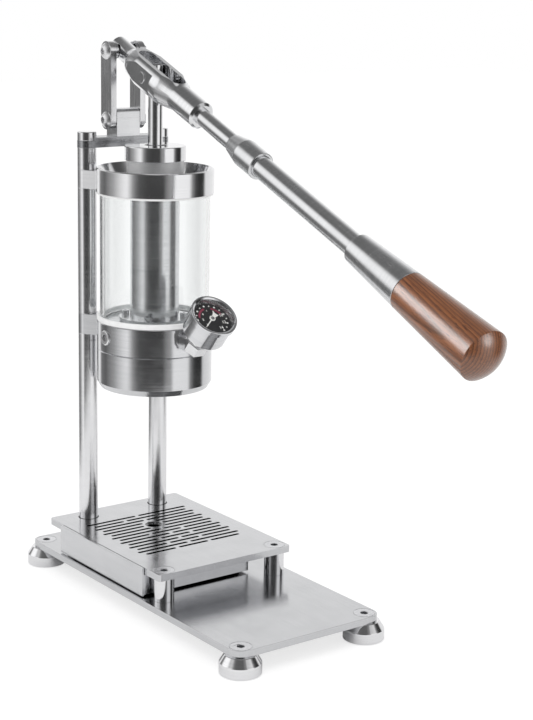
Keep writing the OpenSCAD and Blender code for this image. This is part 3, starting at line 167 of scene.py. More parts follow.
def filmMask(tree, coords, coffeeAndShade):
    # 1 on the faces inside a box that get a dark coat (old coffee and painted shade): there the largest of |place -
    # centre| / half size is under 1
    away = coords
    for operation, by in (("SUBTRACT", coffeeAndShade["centre"]), ("ABSOLUTE", (0, 0, 0)), ("DIVIDE", coffeeAndShade["half"])):
        away = addNode(tree, "ShaderNodeVectorMath", (away, by), operation=operation)
    x, y, z = addNode(tree, "ShaderNodeSeparateXYZ", (away,)).outputs
    wider = addNode(tree, "ShaderNodeMath", (x, y), operation="MAXIMUM")
    far = addNode(tree, "ShaderNodeMath", (wider, z), operation="MAXIMUM")
    inside = addNode(tree, "ShaderNodeMath", (far, 1.0), operation="LESS_THAN")
    facing = addNode(tree, "ShaderNodeSeparateXYZ", (addNode(tree, "ShaderNodeNewGeometry").outputs["Normal"],))
    level = addNode(tree, "ShaderNodeMath", (facing.outputs["Z"], 0.0), operation="ABSOLUTE")
    held = addNode(tree, "ShaderNodeMapRange", (level, *wallSpan, coffeeAndShade["walls"], coffeeAndShade["flats"]))
    return addNode(tree, "ShaderNodeMath", (inside, held), operation="MULTIPLY")


def steel(name, look):
    # stainless steel: fine tool or brush lines, worn patches that dull the gloss, and a few scratches
    look = steelBase | look
    material, tree = blankMaterial(name)
    coords = localCoords(tree, look["centre"], look["turn"])
    lines = grain(tree, coords, look["lines"], detail=4.0, rough=0.65)
    fine = grain(tree, coords, [p * look["fineShare"] for p in look["lines"]], detail=2.0, rough=0.6)
    handled = grain(tree, coords, look["patch"])
    scratch = grain(tree, coords, look["scratch"], detail=1.0, rough=0.4, warp=0.6)
    brushed = addNode(tree, "ShaderNodeMapRange", (lines, *noiseSpan, *look["rough"]))
    worn = addNode(tree, "ShaderNodeMapRange", (handled, *noiseSpan, *look["wear"]))
    nicked = addNode(tree, "ShaderNodeMapRange", (scratch, *look["scratchSpan"], 0.0, look["nicks"]))
    rough = addNode(tree, "ShaderNodeMath", (brushed, worn), operation="ADD")
    rough = addNode(tree, "ShaderNodeMath", (rough, nicked), operation="ADD", use_clamp=True)
    shade = addNode(tree, "ShaderNodeMapRange", (lines, *noiseSpan))
    stain = addNode(tree, "ShaderNodeMapRange", (handled, *noiseSpan, 0.0, look["stain"]))
    dark, light = linear(look["dark"]), linear(look["light"])
    tone = addNode(tree, "ShaderNodeMix", {0: shade, 6: dark, 7: light}, data_type="RGBA")
    tone = addNode(tree, "ShaderNodeMix", {0: stain, 6: tone, 7: dark}, data_type="RGBA")
    # a dark coat painted on chosen faces: old coffee and painted shade on the tray's floor, painted shade on the slot
    # walls
    if "coffeeAndShade" in look:
        mask = filmMask(tree, coords, look["coffeeAndShade"])
        tone = addNode(tree, "ShaderNodeMix", {0: mask, 6: tone, 7: linear(look["coffeeAndShade"]["colour"])},
                       data_type="RGBA")
    relief = addNode(tree, "ShaderNodeBump", {"Height": lines, "Distance": look["depth"] * mm})
    relief = addNode(tree, "ShaderNodeBump", {"Height": fine, "Distance": look["depth"] * mm / 2, "Normal": relief})
    shader = addNode(tree, "ShaderNodeBsdfPrincipled", {"Base Color": tone, "Metallic": 1.0, "Roughness": rough,
                                                        "Normal": relief})
    addNode(tree, "ShaderNodeOutputMaterial", {"Surface": shader})
    return material


def lowerPart(node, inset, rise):
    # centre and half size of a box inside a node's own box, up to a height above its bottom, from mm
    low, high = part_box(node)
    skin = 1e-5             # so that a face at the very top is still inside
    half = [(high[k] - low[k]) / 2 - inset * mm for k in (0, 1)] + [rise / 2 * mm + skin]
    return {"centre": ((low[0] + high[0]) / 2, (low[1] + high[1]) / 2, low[2] + rise / 2 * mm), "half": tuple(half)}


# what every steel has unless its own look says otherwise; sizes of patterns are in mm, and depth is the lines' relief
steelBase = {"centre": (0, 0, 0), "turn": (0, 0, 0), "patch": (26, 26, 26), "wear": (-0.03, 0.05), "stain": 0.25,
             "scratch": (0.7, 0.7, 60), "scratchSpan": (0.70, 0.78), "nicks": 0.12, "fineShare": 0.37}
alongLever = {"centre": leverPin, "turn": (math.radians(90) + leverTilt, 0, 0)}
alongGauge = {"centre": gaugeRoot, "turn": (gaugeTilt, 0, 0)}
# the tray's floor: old coffee, and painted shade under the grille
coffeeAndShadeOnTrayFloor = {"colour": "#2E2A28", "walls": 0.0, "flats": 0.9, **lowerPart("drip_tray", 1.0, 10.0)}
# the slot walls: painted shade, nearly black
paintedShadeInSlots = {"colour": "#1E1C1B", "walls": 1.0, "flats": 0.0, **lowerPart("grille_plate", 9.0, 10.0)}

# real tool lines are 0.05 to 0.2 mm apart and are drawn coarser so that they show
steelLooks = {
    # turned and polished: hard bright and dark bands with faint rings across them
    "turnedStainless": {"light": "#F1F1F2", "dark": "#E7E7E9", "rough": (0.08, 0.13), "lines": (60, 60, 0.9),
                        "depth": 0.0028, "nicks": 0.05},
    # drawn tube: the same bands, with softer edges
    "columnStainless": {"light": "#F3F3F4", "dark": "#E9E9EB", "rough": (0.15, 0.20), "lines": (60, 60, 0.9),
                        "depth": 0.002, "nicks": 0.05},
    # machined from bar: a little greyer than the polished pieces
    "machinedStainless": {"light": "#E0E0E2", "dark": "#D4D5D7", "rough": (0.10, 0.15), "lines": (60, 60, 0.9),
                          "depth": 0.0022, "nicks": 0.05},
    # turned along the lever and rubbed by hands: a soft sheen
    "leverStainless": {"light": "#EDEDEE", "dark": "#D8D9DB", "rough": (0.15, 0.25), "lines": (60, 60, 0.8),
                       "depth": 0.006, **alongLever},
    # spun case of the gauge: bright, with rings round its axis
    "gaugeStainless": {"light": "#EFEFF0", "dark": "#D6D7DA", "rough": (0.09, 0.17), "lines": (40, 40, 0.7),
                       "depth": 0.006, **alongGauge},
    # plate brushed along its length: a blurred grey mirror
    "brushedPlateStainless": {"light": "#D6D6D8", "dark": "#CACBCD", "rough": (0.14, 0.20), "lines": (0.8, 60, 4),
                              "depth": 0.0015, "stain": 0.3, "nicks": 0.0},
    # the same plate, darker on the tray's floor: old coffee, and painted shade under the grille
    "coffeeAndShadeTrayStainless": {"light": "#DEDEE0", "dark": "#D2D3D5", "rough": (0.14, 0.20), "lines": (0.8, 60, 4),
                             "depth": 0.0015, "stain": 0.3, "nicks": 0.0, "coffeeAndShade": coffeeAndShadeOnTrayFloor},
    # and nearly black on the walls of the grille's slots: painted shade in the slots
    "paintedShadeGrilleStainless": {"light": "#D6D6D8", "dark": "#CACBCD", "rough": (0.14, 0.20), "lines": (0.8, 60, 4),
                               "depth": 0.0015, "stain": 0.3, "nicks": 0.0, "coffeeAndShade": paintedShadeInSlots},
    # flat bar brushed along X: streaked, without clear reflections
    "brushedBarStainless": {"light": "#EFEFF0", "dark": "#DCDDDF", "rough": (0.16, 0.26), "lines": (40, 0.8, 0.8),
                            "depth": 0.005, "scratch": (50, 0.8, 0.8)},
    # centreless ground cylinder: an even satin band
    "groundStainless": {"light": "#F0F0F1", "dark": "#DEDFE1", "rough": (0.19, 0.23), "lines": (60, 60, 0.9),
                        "depth": 0.0007, "nicks": 0.0},
    # blasted: nearly white, with no reflections
    "satinStainless": {"light": "#FBFBFB", "dark": "#F0F0F1", "rough": (0.5, 0.6), "lines": (60, 60, 0.9),
                       "depth": 0.002, "nicks": 0.0},
    # milled and polished fork: crisp reflections along the lever
    "forkStainless": {"light": "#F2F2F3", "dark": "#DDDEE0", "rough": (0.09, 0.15), "lines": (60, 60, 0.8),
                      "depth": 0.003, **alongLever},
    # bar darkened all over: painted shade that stands in for the crossbar's dark front face; duller than the rest
    "paintedShadeBarStainless": {"light": "#BFC0C2", "dark": "#A2A3A6", "rough": (0.18, 0.3), "lines": (40, 0.8, 0.8),
                          "depth": 0.006, "scratch": (50, 0.8, 0.8)},
    # links brushed along their length: upright streaks
    "brushedLinkStainless": {"light": "#EFEFF0", "dark": "#DDDDDF", "rough": (0.14, 0.24), "lines": (3, 0.8, 50),
                             "depth": 0.005},
    # cold-formed screws: small, uneven glints
    "boltStainless": {"light": "#E8E8EA", "dark": "#C9CACD", "rough": (0.14, 0.26), "lines": (1.6, 1.6, 1.6),
                      "depth": 0.004},
    # tumbled heads and fittings: a soft bright spot
    "domedBoltStainless": {"light": "#FAFAFA", "dark": "#EBEBED", "rough": (0.28, 0.38), "lines": (1.6, 1.6, 1.6),
                           "depth": 0.003},
    # pressed and pierced sheet: dull, with draw marks
    "piercedSheetStainless": {"light": "#E4E5E7", "dark": "#CDCED1", "rough": (0.2, 0.32), "lines": (1.2, 30, 2),
                              "depth": 0.004},
}
metals = {name: steel(name, look) for name, look in steelLooks.items()}

bronzeLook = {"light": "#BE965A", "dark": "#9A7440", "rough": (0.25, 0.42), "rings": (40, 40, 0.6), "depth": 0.006}


def machinedBronze(look):
    # leaded bronze, turned: warm brown-yellow with dull rings
    material, tree = blankMaterial("machinedBronze")
    rings = grain(tree, localCoords(tree), look["rings"])
    shade = addNode(tree, "ShaderNodeMapRange", (rings, *noiseSpan))
    tone = addNode(tree, "ShaderNodeMix", {0: shade, 6: linear(look["dark"]), 7: linear(look["light"])},
                   data_type="RGBA")
    shader = addNode(tree, "ShaderNodeBsdfPrincipled", {
        "Base Color": tone, "Metallic": 1.0,
        "Roughness": addNode(tree, "ShaderNodeMapRange", (rings, *noiseSpan, *look["rough"])),
        "Normal": addNode(tree, "ShaderNodeBump", {"Height": rings, "Distance": look["depth"] * mm})})
    addNode(tree, "ShaderNodeOutputMaterial", {"Surface": shader})
    return material


# rubber, plastics, paint and glass

mouldedBase = {"patch": (11, 11, 11), "dust": 0.3}


def mouldedMaterial(name, look):
    # moulded or printed surface: a fine pebble texture, with slightly polished and dusty patches
    look = mouldedBase | look
    material, tree = blankMaterial(name)
    coords = localCoords(tree)
    pebbles = grain(tree, coords, [look["grit"]] * 3)
    patch = grain(tree, coords, look["patch"], detail=2.0)
    dark, light = linear(look["dark"]), linear(look["light"])
    shade = addNode(tree, "ShaderNodeMapRange", (patch, *noiseSpan))
    dusty = addNode(tree, "ShaderNodeMapRange", (pebbles, *noiseSpan, 0.0, look["dust"]))
    tone = addNode(tree, "ShaderNodeMix", {0: shade, 6: dark, 7: light}, data_type="RGBA")
    tone = addNode(tree, "ShaderNodeMix", {0: dusty, 6: tone, 7: light}, data_type="RGBA")
    shader = addNode(tree, "ShaderNodeBsdfPrincipled", {
        "Base Color": tone, "Roughness": addNode(tree, "ShaderNodeMapRange", (patch, *noiseSpan, *look["rough"])),
        "Normal": addNode(tree, "ShaderNodeBump", {"Height": pebbles, "Distance": look["depth"] * mm})})
    addNode(tree, "ShaderNodeOutputMaterial", {"Surface": shader})
    return material


mouldedLooks = {
    # matt, dark and dusty: no clear reflections
    "nitrileRubber": {"light": "#323336", "dark": "#222326", "rough": (0.55, 0.75), "grit": 0.5, "depth": 0.02},
    # milky white seals with a soft sheen
    "whiteSilicone": {"light": "#FAFAFA", "dark": "#EFEFEF", "rough": (0.35, 0.5), "grit": 0.7, "depth": 0.01},
    # turned acetal: cream and a little waxy
    "creamAcetal": {"light": "#E6E1D2", "dark": "#D6D0BF", "rough": (0.3, 0.45), "grit": 0.6, "depth": 0.008},
    # moulded nylon: nearly black with a dull sheen
    "blackNylon": {"light": "#2B2C2F", "dark": "#1D1E20", "rough": (0.45, 0.6), "grit": 0.5, "depth": 0.015},
    # sprayed flat, so that the print stands out
    "matBlackDialPaint": {"light": "#1B1B1E", "dark": "#131315", "rough": (0.38, 0.55), "grit": 0.4, "depth": 0.004},
    # screen-printed white, slightly glossy
    "whiteEnamel": {"light": "#F8F8F5", "dark": "#ECECE8", "rough": (0.25, 0.4), "grit": 0.5, "depth": 0.003},
    # screen-printed dull red
    "darkRedEnamel": {"light": "#96304C", "dark": "#7D2740", "rough": (0.35, 0.5), "grit": 0.5, "depth": 0.003},
}
moulded = {name: mouldedMaterial(name, look) for name, look in mouldedLooks.items()}

glassBase = {"wipes": (14, 14, 30), "depth": 0.0004, "ior": 1.47}
glassLooks = {"borosilicateGlass": {"tint": "#FAFBFB", "rough": (0.0, 0.01)},
              "gaugeWindowGlass": {"tint": "#FDFDFD", "rough": (0.0, 0.02)}}


def clearGlass(name, look):
    # borosilicate glass: clear, with faint wipe marks in the gloss; shadow and diffuse rays pass straight on
    look = glassBase | look
    material, tree = blankMaterial(name)
    wipes = grain(tree, localCoords(tree), look["wipes"])
    tint = linear(look["tint"])
    body = addNode(tree, "ShaderNodeBsdfPrincipled", {
        "Base Color": tint, "Roughness": addNode(tree, "ShaderNodeMapRange", (wipes, *noiseSpan, *look["rough"])),
        "Normal": addNode(tree, "ShaderNodeBump", {"Height": wipes, "Distance": look["depth"] * mm}),
        "Transmission Weight": 1.0, "IOR": look["ior"]})
    through = addNode(tree, "ShaderNodeBsdfTransparent", {"Color": tint})
    rays = addNode(tree, "ShaderNodeLightPath").outputs
    straight = addNode(tree, "ShaderNodeMath", (rays["Is Shadow Ray"], rays["Is Diffuse Ray"]), operation="MAXIMUM")
    either = addNode(tree, "ShaderNodeMixShader", (straight, body, through))
    addNode(tree, "ShaderNodeOutputMaterial", {"Surface": either})
    return material


glass = {name: clearGlass(name, look) for name, look in glassLooks.items()}

walnutLook = {
    # growth rings 2.6 mm apart round a heart beside the handle, which leans a little; along the grain they stretch
    "heart": (0.040, 0.012, 0.0), "lean": (0.06, 0.09, 0.0), "ringPitch": 2.6, "stretch": 0.11,
    "rings": ((0.0, "#2A1308"), (0.06, "#583018"), (0.20, "#854F2B"), (0.60, "#774323"), (0.86, "#592F17"),
              (1.0, "#2E1508")),
    # streaks over the rings: grain size in mm, detail, roughness, warp, where they show, how much, and their colour
    "streaks": {"wander": ((17, 17, 120), 3.0, 0.5, 0.8, (0.3, 0.7), 0.55, "#7E4C26"),
                "ripple": ((1.5, 2.2, 45), 3.0, 0.6, 0.6, (0.48, 0.72), 0.6, "#4A260F"),
                "pores": ((0.6, 0.9, 14), 3.0, 0.6, 0.3, (0.56, 0.68), 0.85, "#2E140A")},
    "wave": {"Distortion": 11.0, "Detail": 3.0, "Detail Scale": 0.09, "Detail Roughness": 0.6},
    "rough": (0.30, 0.45), "poreDepth": 0.012, "poreStrength": 0.6, "coatIor": 1.55, "coatRough": 0.24,
}


def lacqueredWalnut(look):
    # walnut turned along the grain: dark pores and growth bands under a clear gloss lacquer
    material, tree = blankMaterial("lacqueredWalnut")
    coords = localCoords(tree, alongLever["centre"], alongLever["turn"])
    offAxis = addNode(tree, "ShaderNodeMapping", {"Vector": coords, "Location": look["heart"],
                                                  "Rotation": look["lean"]})
    inMm = addNode(tree, "ShaderNodeMapping", {"Vector": offAxis, "Scale": (1 / mm, 1 / mm, look["stretch"] / mm)})
    # a wave texture repeats every 2 pi / 20 at a scale of 1
    rings = addNode(tree, "ShaderNodeTexWave", {
        "Vector": inMm, "Scale": 2 * math.pi / (20 * look["ringPitch"]), **look["wave"]},
        wave_type="RINGS", rings_direction="Z", wave_profile="SAW")
    tone = addNode(tree, "ShaderNodeValToRGB", {"Fac": rings.outputs["Fac"]})
    stops = tone.color_ramp.elements
    while len(stops) < len(look["rings"]):
        stops.new(0.5)
    for stop, (at, colour) in zip(stops, look["rings"]):
        stop.position, stop.color = at, linear(colour)
    made = {}
    for name, (pitch, detail, rough, warp, shown, most, colour) in look["streaks"].items():
        made[name] = grain(tree, offAxis, pitch, detail, rough, warp)
        amount = addNode(tree, "ShaderNodeMapRange", (made[name], *shown, 0.0, most))
        tone = addNode(tree, "ShaderNodeMix", {0: amount, 6: tone, 7: linear(colour)}, data_type="RGBA")
    shader = addNode(tree, "ShaderNodeBsdfPrincipled", {
        "Base Color": tone,
        "Roughness": addNode(tree, "ShaderNodeMapRange", (made["ripple"], *noiseSpan, *look["rough"])),
        "Normal": addNode(tree, "ShaderNodeBump", {"Height": made["pores"], "Distance": look["poreDepth"] * mm,
                                                   "Strength": look["poreStrength"]}),
        "Coat Weight": 1.0, "Coat IOR": look["coatIor"], "Coat Roughness": look["coatRough"]})
    addNode(tree, "ShaderNodeOutputMaterial", {"Surface": shader})
    return material


bronze = machinedBronze(bronzeLook)
walnut = lacqueredWalnut(walnutLook)
print("materials made")


# mesh tools

def dress(piece, node):
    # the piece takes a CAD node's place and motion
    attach(piece, nodeBody[node])
    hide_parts(node)
    return piece


def meshPiece(name, points, faces, material, normals=None):
    mesh = bpy.data.meshes.new(name)
    mesh.from_pydata(points.tolist(), [], faces)
    mesh.materials.append(material)
    mesh.update()
    mesh.shade_smooth()
    if normals is not None:
        mesh.normals_split_custom_set_from_vertices(normals.tolist())
    piece = bpy.data.objects.new(name, mesh)
    bpy.context.scene.collection.objects.link(piece)
    return piece


sideShare = 0.46        # the most of a side that the rounding of one of its corners may take
tiny = 1e-8             # metres


def roundedLoop(outline, corner, steps):
    # every corner of the closed outline is cut back along both its sides and the two cuts are joined by
    # a parabola; a corner on the axis stays sharp; also gives the outward normal of each point
    size = np.array([p[2] if len(p) > 2 else corner for p in outline]) * mm
    p = np.array([q[:2] for q in outline], float) * mm
    before, after = np.roll(p, 1, 0) - p, np.roll(p, -1, 0) - p
    reachB, reachA = np.linalg.norm(before, axis=1), np.linalg.norm(after, axis=1)
    before, after = before / reachB[:, None], after / reachA[:, None]
    onAxis = p[:, 0] < tiny
    cut = np.where(onAxis, 0.0, np.minimum(size, sideShare * np.minimum(reachA, reachB)))[:, None]
    start, end = p + before * cut, p + after * cut
    t = np.linspace(0, 1, steps + 1)[:, None, None]
    curve = (1 - t) ** 2 * start + 2 * t * (1 - t) * p + t ** 2 * end
    slope = -(1 - t) * before + t * after
    axisNext = onAxis & np.roll(onAxis, -1)
    axisLast = onAxis & np.roll(onAxis, 1)
    slope[:, axisNext] = -before[axisNext]
    slope[:, axisLast] = after[axisLast]
    curve, slope = (a.transpose(1, 0, 2).reshape(-1, 2) for a in (curve, slope))
    keep = np.linalg.norm(curve - np.roll(curve, 1, 0), axis=1) > tiny
    normal = np.stack([slope[:, 1], -slope[:, 0]], 1)
    normal /= np.linalg.norm(normal, axis=1)[:, None]
    return curve[keep], normal[keep]


def turned(name, outline, material, places=((brewAxis, upright),), corner=0.35, count=96, steps=3):
    # a closed outline of (radius, height) in mm is carried round each axis:
    # point = origin + radius * (u cos a + v sin a) + height * axis
    loop, slope = roundedLoop(outline, corner, steps)
    rows, angle = len(loop), np.arange(count) * 2 * np.pi / count
    pole = loop[:, 0] < tiny
    index = np.arange(rows * count).reshape(rows, count)
    index[pole] = index[pole][:, :1]
    follow = np.roll(index, -1, 0)
    quads = np.stack([index, np.roll(index, -1, 1), np.roll(follow, -1, 1), follow], -1)
    poleNext = np.roll(pole, -1)
    whole = quads[~pole & ~poleNext].reshape(-1, 4)
    startTips, endTips = quads[pole & ~poleNext][:, :, [0, 2, 3]], quads[~pole & poleNext][:, :, :3]
    tips = np.concatenate([startTips, endTips]).reshape(-1, 3)
    used = np.unique(index)     # a pole keeps one point
    whole, tips = np.searchsorted(used, whole), np.searchsorted(used, tips)
    points, normals, faces = [], [], []
    for k, (place, axis) in enumerate(places):
        axis = np.array(axis, float)
        u = np.cross(axis, (0.0, 1.0, 0.0) if abs(axis[1]) < 0.9 else (1.0, 0.0, 0.0))
        u /= np.linalg.norm(u)
        v = np.cross(axis, u)
        ring = np.cos(angle)[:, None] * u + np.sin(angle)[:, None] * v
        grid = np.array(place) + loop[:, None, :1] * ring + loop[:, None, 1:] * axis
        lean = slope[:, None, :1] * ring + slope[:, None, 1:] * axis
        points.append(grid.reshape(-1, 3)[used])
        normals.append(lean.reshape(-1, 3)[used])
        faces += (whole + k * len(used)).tolist() + (tips + k * len(used)).tolist()
    return meshPiece(name, np.concatenate(points), faces, material, np.concatenate(normals))


# rounded edges: the angle past which an edge is rounded, and what is welded (metres) and made flat (degrees) first
edgeSet = {"segments": 2, "angle": 28.0, "evenWeight": 60, "weld": 2e-6, "flat": 0.4}


def softened(node, material, width, e):
    # a copy of the CAD node, merged and with its flat faces made whole, with small rounded edges
    bm = bmesh.new()
    bm.from_mesh(frame["nodes"][node].data)
    bmesh.ops.remove_doubles(bm, verts=bm.verts, dist=e["weld"])
    bmesh.ops.dissolve_limit(bm, angle_limit=math.radians(e["flat"]), verts=bm.verts, edges=bm.edges)
    mesh = bpy.data.meshes.new(node + "Soft")
    bm.to_mesh(mesh)
    bm.free()
    if "custom_normal" in mesh.attributes:
        mesh.attributes.remove(mesh.attributes["custom_normal"])
    mesh.materials.clear()
    mesh.materials.append(material)
    mesh.polygons.foreach_set("material_index", np.zeros(len(mesh.polygons), dtype=np.int32))
    mesh.shade_smooth()
    piece = bpy.data.objects.new(node + "Soft", mesh)
    bpy.context.scene.collection.objects.link(piece)
    edge = piece.modifiers.new("edges", "BEVEL")
    edge.width, edge.segments = width * mm, e["segments"]
    edge.limit_method, edge.angle_limit = "ANGLE", math.radians(e["angle"])
    edge.miter_outer = "MITER_ARC"
    edge.use_clamp_overlap = True
    evenOut = piece.modifiers.new("evenNormals", "WEIGHTED_NORMAL")
    evenOut.weight, evenOut.keep_sharp = e["evenWeight"], False
    return dress(piece, node)


# plates, bars, heads and screws: finish, and width in mm of the rounded edges

softPieces = {
    "base_plate": ("brushedPlateStainless", 0.45), "grille_plate": ("paintedShadeGrilleStainless", 0.12),
    "drip_tray": ("coffeeAndShadeTrayStainless", 0.2), "crossbar": ("paintedShadeBarStainless", 0.6),
    "pedestal": ("brushedBarStainless", 0.4), "left_link": ("brushedLinkStainless", 0.5),
    "right_link": ("brushedLinkStainless", 0.5), "group_head": ("machinedStainless", 0.35),
    "funnel_ring": ("turnedStainless", 0.35), "filter_base": ("machinedStainless", 0.35),
    "brew_cylinder": ("groundStainless", 0.25), "lever_fork": ("forkStainless", 0.4),
    "gauge_elbow": ("domedBoltStainless", 0.3), "gauge_case": ("gaugeStainless", 0.25),
    "foot_screws": ("boltStainless", 0.5), "post_screws": ("boltStainless", 0.5),
    "pedestal_screws": ("boltStainless", 0.15), "link_bolts": ("domedBoltStainless", 0.3),
    "link_nuts": ("boltStainless", 0.2), "lock_nut": ("boltStainless", 0.3),
    "side_plug": ("domedBoltStainless", 0.3), "tie_rod_nuts": ("boltStainless", 0.3),
    "flange_screws": ("boltStainless", 0.15), "cross_pin": ("turnedStainless", 0.9),
    "elbow_plug": ("boltStainless", 0.2), "link_bushes": ("boltStainless", 0.2),
    "tray_runners": ("blackNylon", 0.2), "piston": ("creamAcetal", 0.3), "glass_gaskets": ("whiteSilicone", 0.5),
}
for node, (look, width) in softPieces.items():
    softened(node, metals.get(look) or moulded[look], width, edgeSet)
print("softened pieces made")


# turned pieces on upright axes: radii in mm, with heights from the CAD nodes

footSet = {"radius": 17.7, "topRadius": 13.3, "bore": 4.05, "shoulder": 9.9, "recess": 13.1, "recessTop": 2.45,
           "padRadius": 13.0}
columnSet = {"radius": 8.75, "bore": 4.3, "capCrown": 1.1, "capRim": 0.7, "capWall": 1.75, "capBore": 4.05,
             "sleeveRadius": 12.0, "sleeveBore": 8.85, "postRadius": 9.0, "postBore": 4.1}
brewSet = {"glassRadius": 49.2, "glassBore": 46.0, "capRadius": 27.4, "capCrown": 1.1, "capSeat": 389.5,
           "neckRadius": 25.5, "neckBore": 22.05, "bushRadius": 9.55, "rodClearance": 0.05,
           "rodRadius": 6.5, "rodFoot": 6.0, "rodCrown": 0.6}


def tubeLoop(outer, inner, low, high):
    return [(inner, low), (outer, low), (outer, high), (inner, high)]


def makeFeet(f):
    places = corners("feet", f["radius"])
    low, high = spanOf("feet")
    dress(turned("footCones", [(f["recess"], low), (f["radius"], low), (f["radius"], f["shoulder"]),
                               (f["topRadius"], high), (f["bore"], high), (f["bore"], f["recessTop"]),
                               (f["recess"], f["recessTop"])], metals["turnedStainless"], places, corner=0.5,
                 count=72), "feet")
    low, high = spanOf("foot_pads")
    dress(turned("footPads", [(0, low), (f["padRadius"], low), (f["padRadius"], high), (0, high)],
                 moulded["nitrileRubber"], places, corner=0.4, count=48), "foot_pads")


def makeColumns(c):
    stainless = metals["turnedStainless"]
    posts, columns = corners("front_posts", c["postRadius"]), corners("column_sleeves", c["sleeveRadius"])
    dress(turned("frontPosts", tubeLoop(c["postRadius"], c["postBore"], *spanOf("front_posts")), stainless, posts,
                 corner=0.3, count=64), "front_posts")
    dress(turned("columnSleeves", tubeLoop(c["sleeveRadius"], c["sleeveBore"], *spanOf("column_sleeves")),
                 stainless, columns, corner=0.3, count=72), "column_sleeves")
    for side, place in zip(("left", "right"), columns):
        for level in ("lower", "middle", "upper"):
            node = f"{side}_{level}_column"
            dress(turned(side + level.capitalize() + "Column", tubeLoop(c["radius"], c["bore"], *spanOf(node)),
                         metals["columnStainless"], [place], corner=0.45, count=64), node)
    low, high = spanOf("column_caps")
    socket = high - c["capWall"]
    dress(turned("columnCaps", [(0, socket), (c["capBore"], socket), (c["capBore"], low),
                                (c["radius"], low, c["capRim"]), (c["radius"], high, c["capCrown"]), (0, high)],
                 stainless, columns, corner=0.25, count=64), "column_caps")


def makeBrewGroup(b):
    stainless = metals["turnedStainless"]
    (neckLow, capTop), seat = spanOf("cylinder_cap"), b["capSeat"]
    spigot = spanOf("brew_cylinder")[1]
    dress(turned("cylinderCap", [(b["neckBore"], seat), (b["capRadius"], seat),
                                 (b["capRadius"], capTop, b["capCrown"]), (b["bushRadius"], capTop),
                                 (b["bushRadius"], spigot), (b["neckBore"], spigot)], stainless, corner=0.4),
          "cylinder_cap")
    dress(turned("capNeck", tubeLoop(b["neckRadius"], b["neckBore"], neckLow, seat), metals["satinStainless"],
                 corner=0.3), "cylinder_cap")
    dress(turned("waterGlass", tubeLoop(b["glassRadius"], b["glassBore"], *spanOf("glass_cylinder")),
                 glass["borosilicateGlass"], corner=0.5, count=128), "glass_cylinder")
    ringOuter, ringBore = b["bushRadius"] - b["rodClearance"], b["rodRadius"] + b["rodClearance"]
    dress(turned("rodBush", tubeLoop(ringOuter, ringBore, *spanOf("rod_bush")), bronze, count=64), "rod_bush")
    dress(turned("rodWiper", tubeLoop(ringOuter, ringBore, *spanOf("rod_wiper")), moulded["nitrileRubber"],
                 count=64), "rod_wiper")
    (low, high), shoulder = spanOf("piston_rod"), spanOf("piston")[1]
    dress(turned("pistonRod", [(0, low), (b["rodFoot"], low), (b["rodFoot"], shoulder), (b["rodRadius"], shoulder),
                               (b["rodRadius"], high, b["rodCrown"]), (0, high)], stainless, corner=0.3, count=64),
          "piston_rod")


makeFeet(footSet)
makeColumns(columnSet)
makeBrewGroup(brewSet)
print("upright turned pieces made")


# the lever's turned pieces: radii, and lengths along the lever from the cross pin, in mm

leverSet = {
    "rod": {"radius": 7.25, "start": 68, "end": 138},
    "collar": {"start": 128, "startRadius": 8.3, "shoulder": 145, "radius": 12.0, "end": 169, "lip": 0.7,
               "socket": 9.55, "socketFloor": 158.9},
    "tube": {"radius": 9.5, "bore": 7.3, "start": 159, "end": 313.5},
    "ferrule": {"startRadius": 12.7, "radius": 16.2, "start": 303.5, "end": 366.9},
    "handle": {"start": 367.05, "radius": 21.0, "shoulder": 456.0, "dome": 29, "tip": 465.0, "rings": 9,
               "domeRounding": 3.0},
}


def makeLever(l):
    line, satin = [(leverPin, leverLine)], metals["leverStainless"]
    rod, collar, tube, ferrule, handle = (l[key] for key in ("rod", "collar", "tube", "ferrule", "handle"))
    dress(turned("leverRod", [(0, rod["start"]), (rod["radius"], rod["start"]), (rod["radius"], rod["end"]),
                              (0, rod["end"])], satin, line, corner=0.2, count=64), "lever_rod")
    dress(turned("leverCollar", [(tube["bore"], collar["start"]), (collar["startRadius"], collar["start"]),
                                 (collar["radius"], collar["shoulder"]),
                                 (collar["radius"], collar["end"], collar["lip"]),
                                 (collar["socket"], collar["end"]), (collar["socket"], collar["socketFloor"]),
                                 (tube["bore"], collar["socketFloor"])], satin, line, corner=0.35, count=80),
          "lever_collar")
    dress(turned("leverTube", tubeLoop(tube["radius"], tube["bore"], tube["start"], tube["end"]), satin, line,
                 corner=0.2, count=72), "lever_tube")
    dress(turned("ferrule", [(collar["socket"], ferrule["start"]), (ferrule["startRadius"], ferrule["start"]),
                             (ferrule["radius"], ferrule["end"]), (collar["socket"], ferrule["end"])],
                 satin, line, corner=0.4, count=80), "ferrule")
    # the handle's end is a cap of a ball: radius * sin(fall) out, and tip - radius + radius * cos(fall) along
    ball = handle["dome"]
    fall = np.linspace(math.asin(handle["radius"] / ball), 0, handle["rings"])[1:-1, None]
    dome = np.hstack([ball * np.sin(fall), handle["tip"] - ball + ball * np.cos(fall),
                      np.full_like(fall, handle["domeRounding"])])
    dress(turned("walnutHandle", [(0, handle["start"]), (ferrule["radius"], handle["start"]),
                                  (handle["radius"], handle["shoulder"], 0.5), *dome.tolist(), (0, handle["tip"])],
                 walnut, line, corner=0.6, steps=4), "wooden_handle")


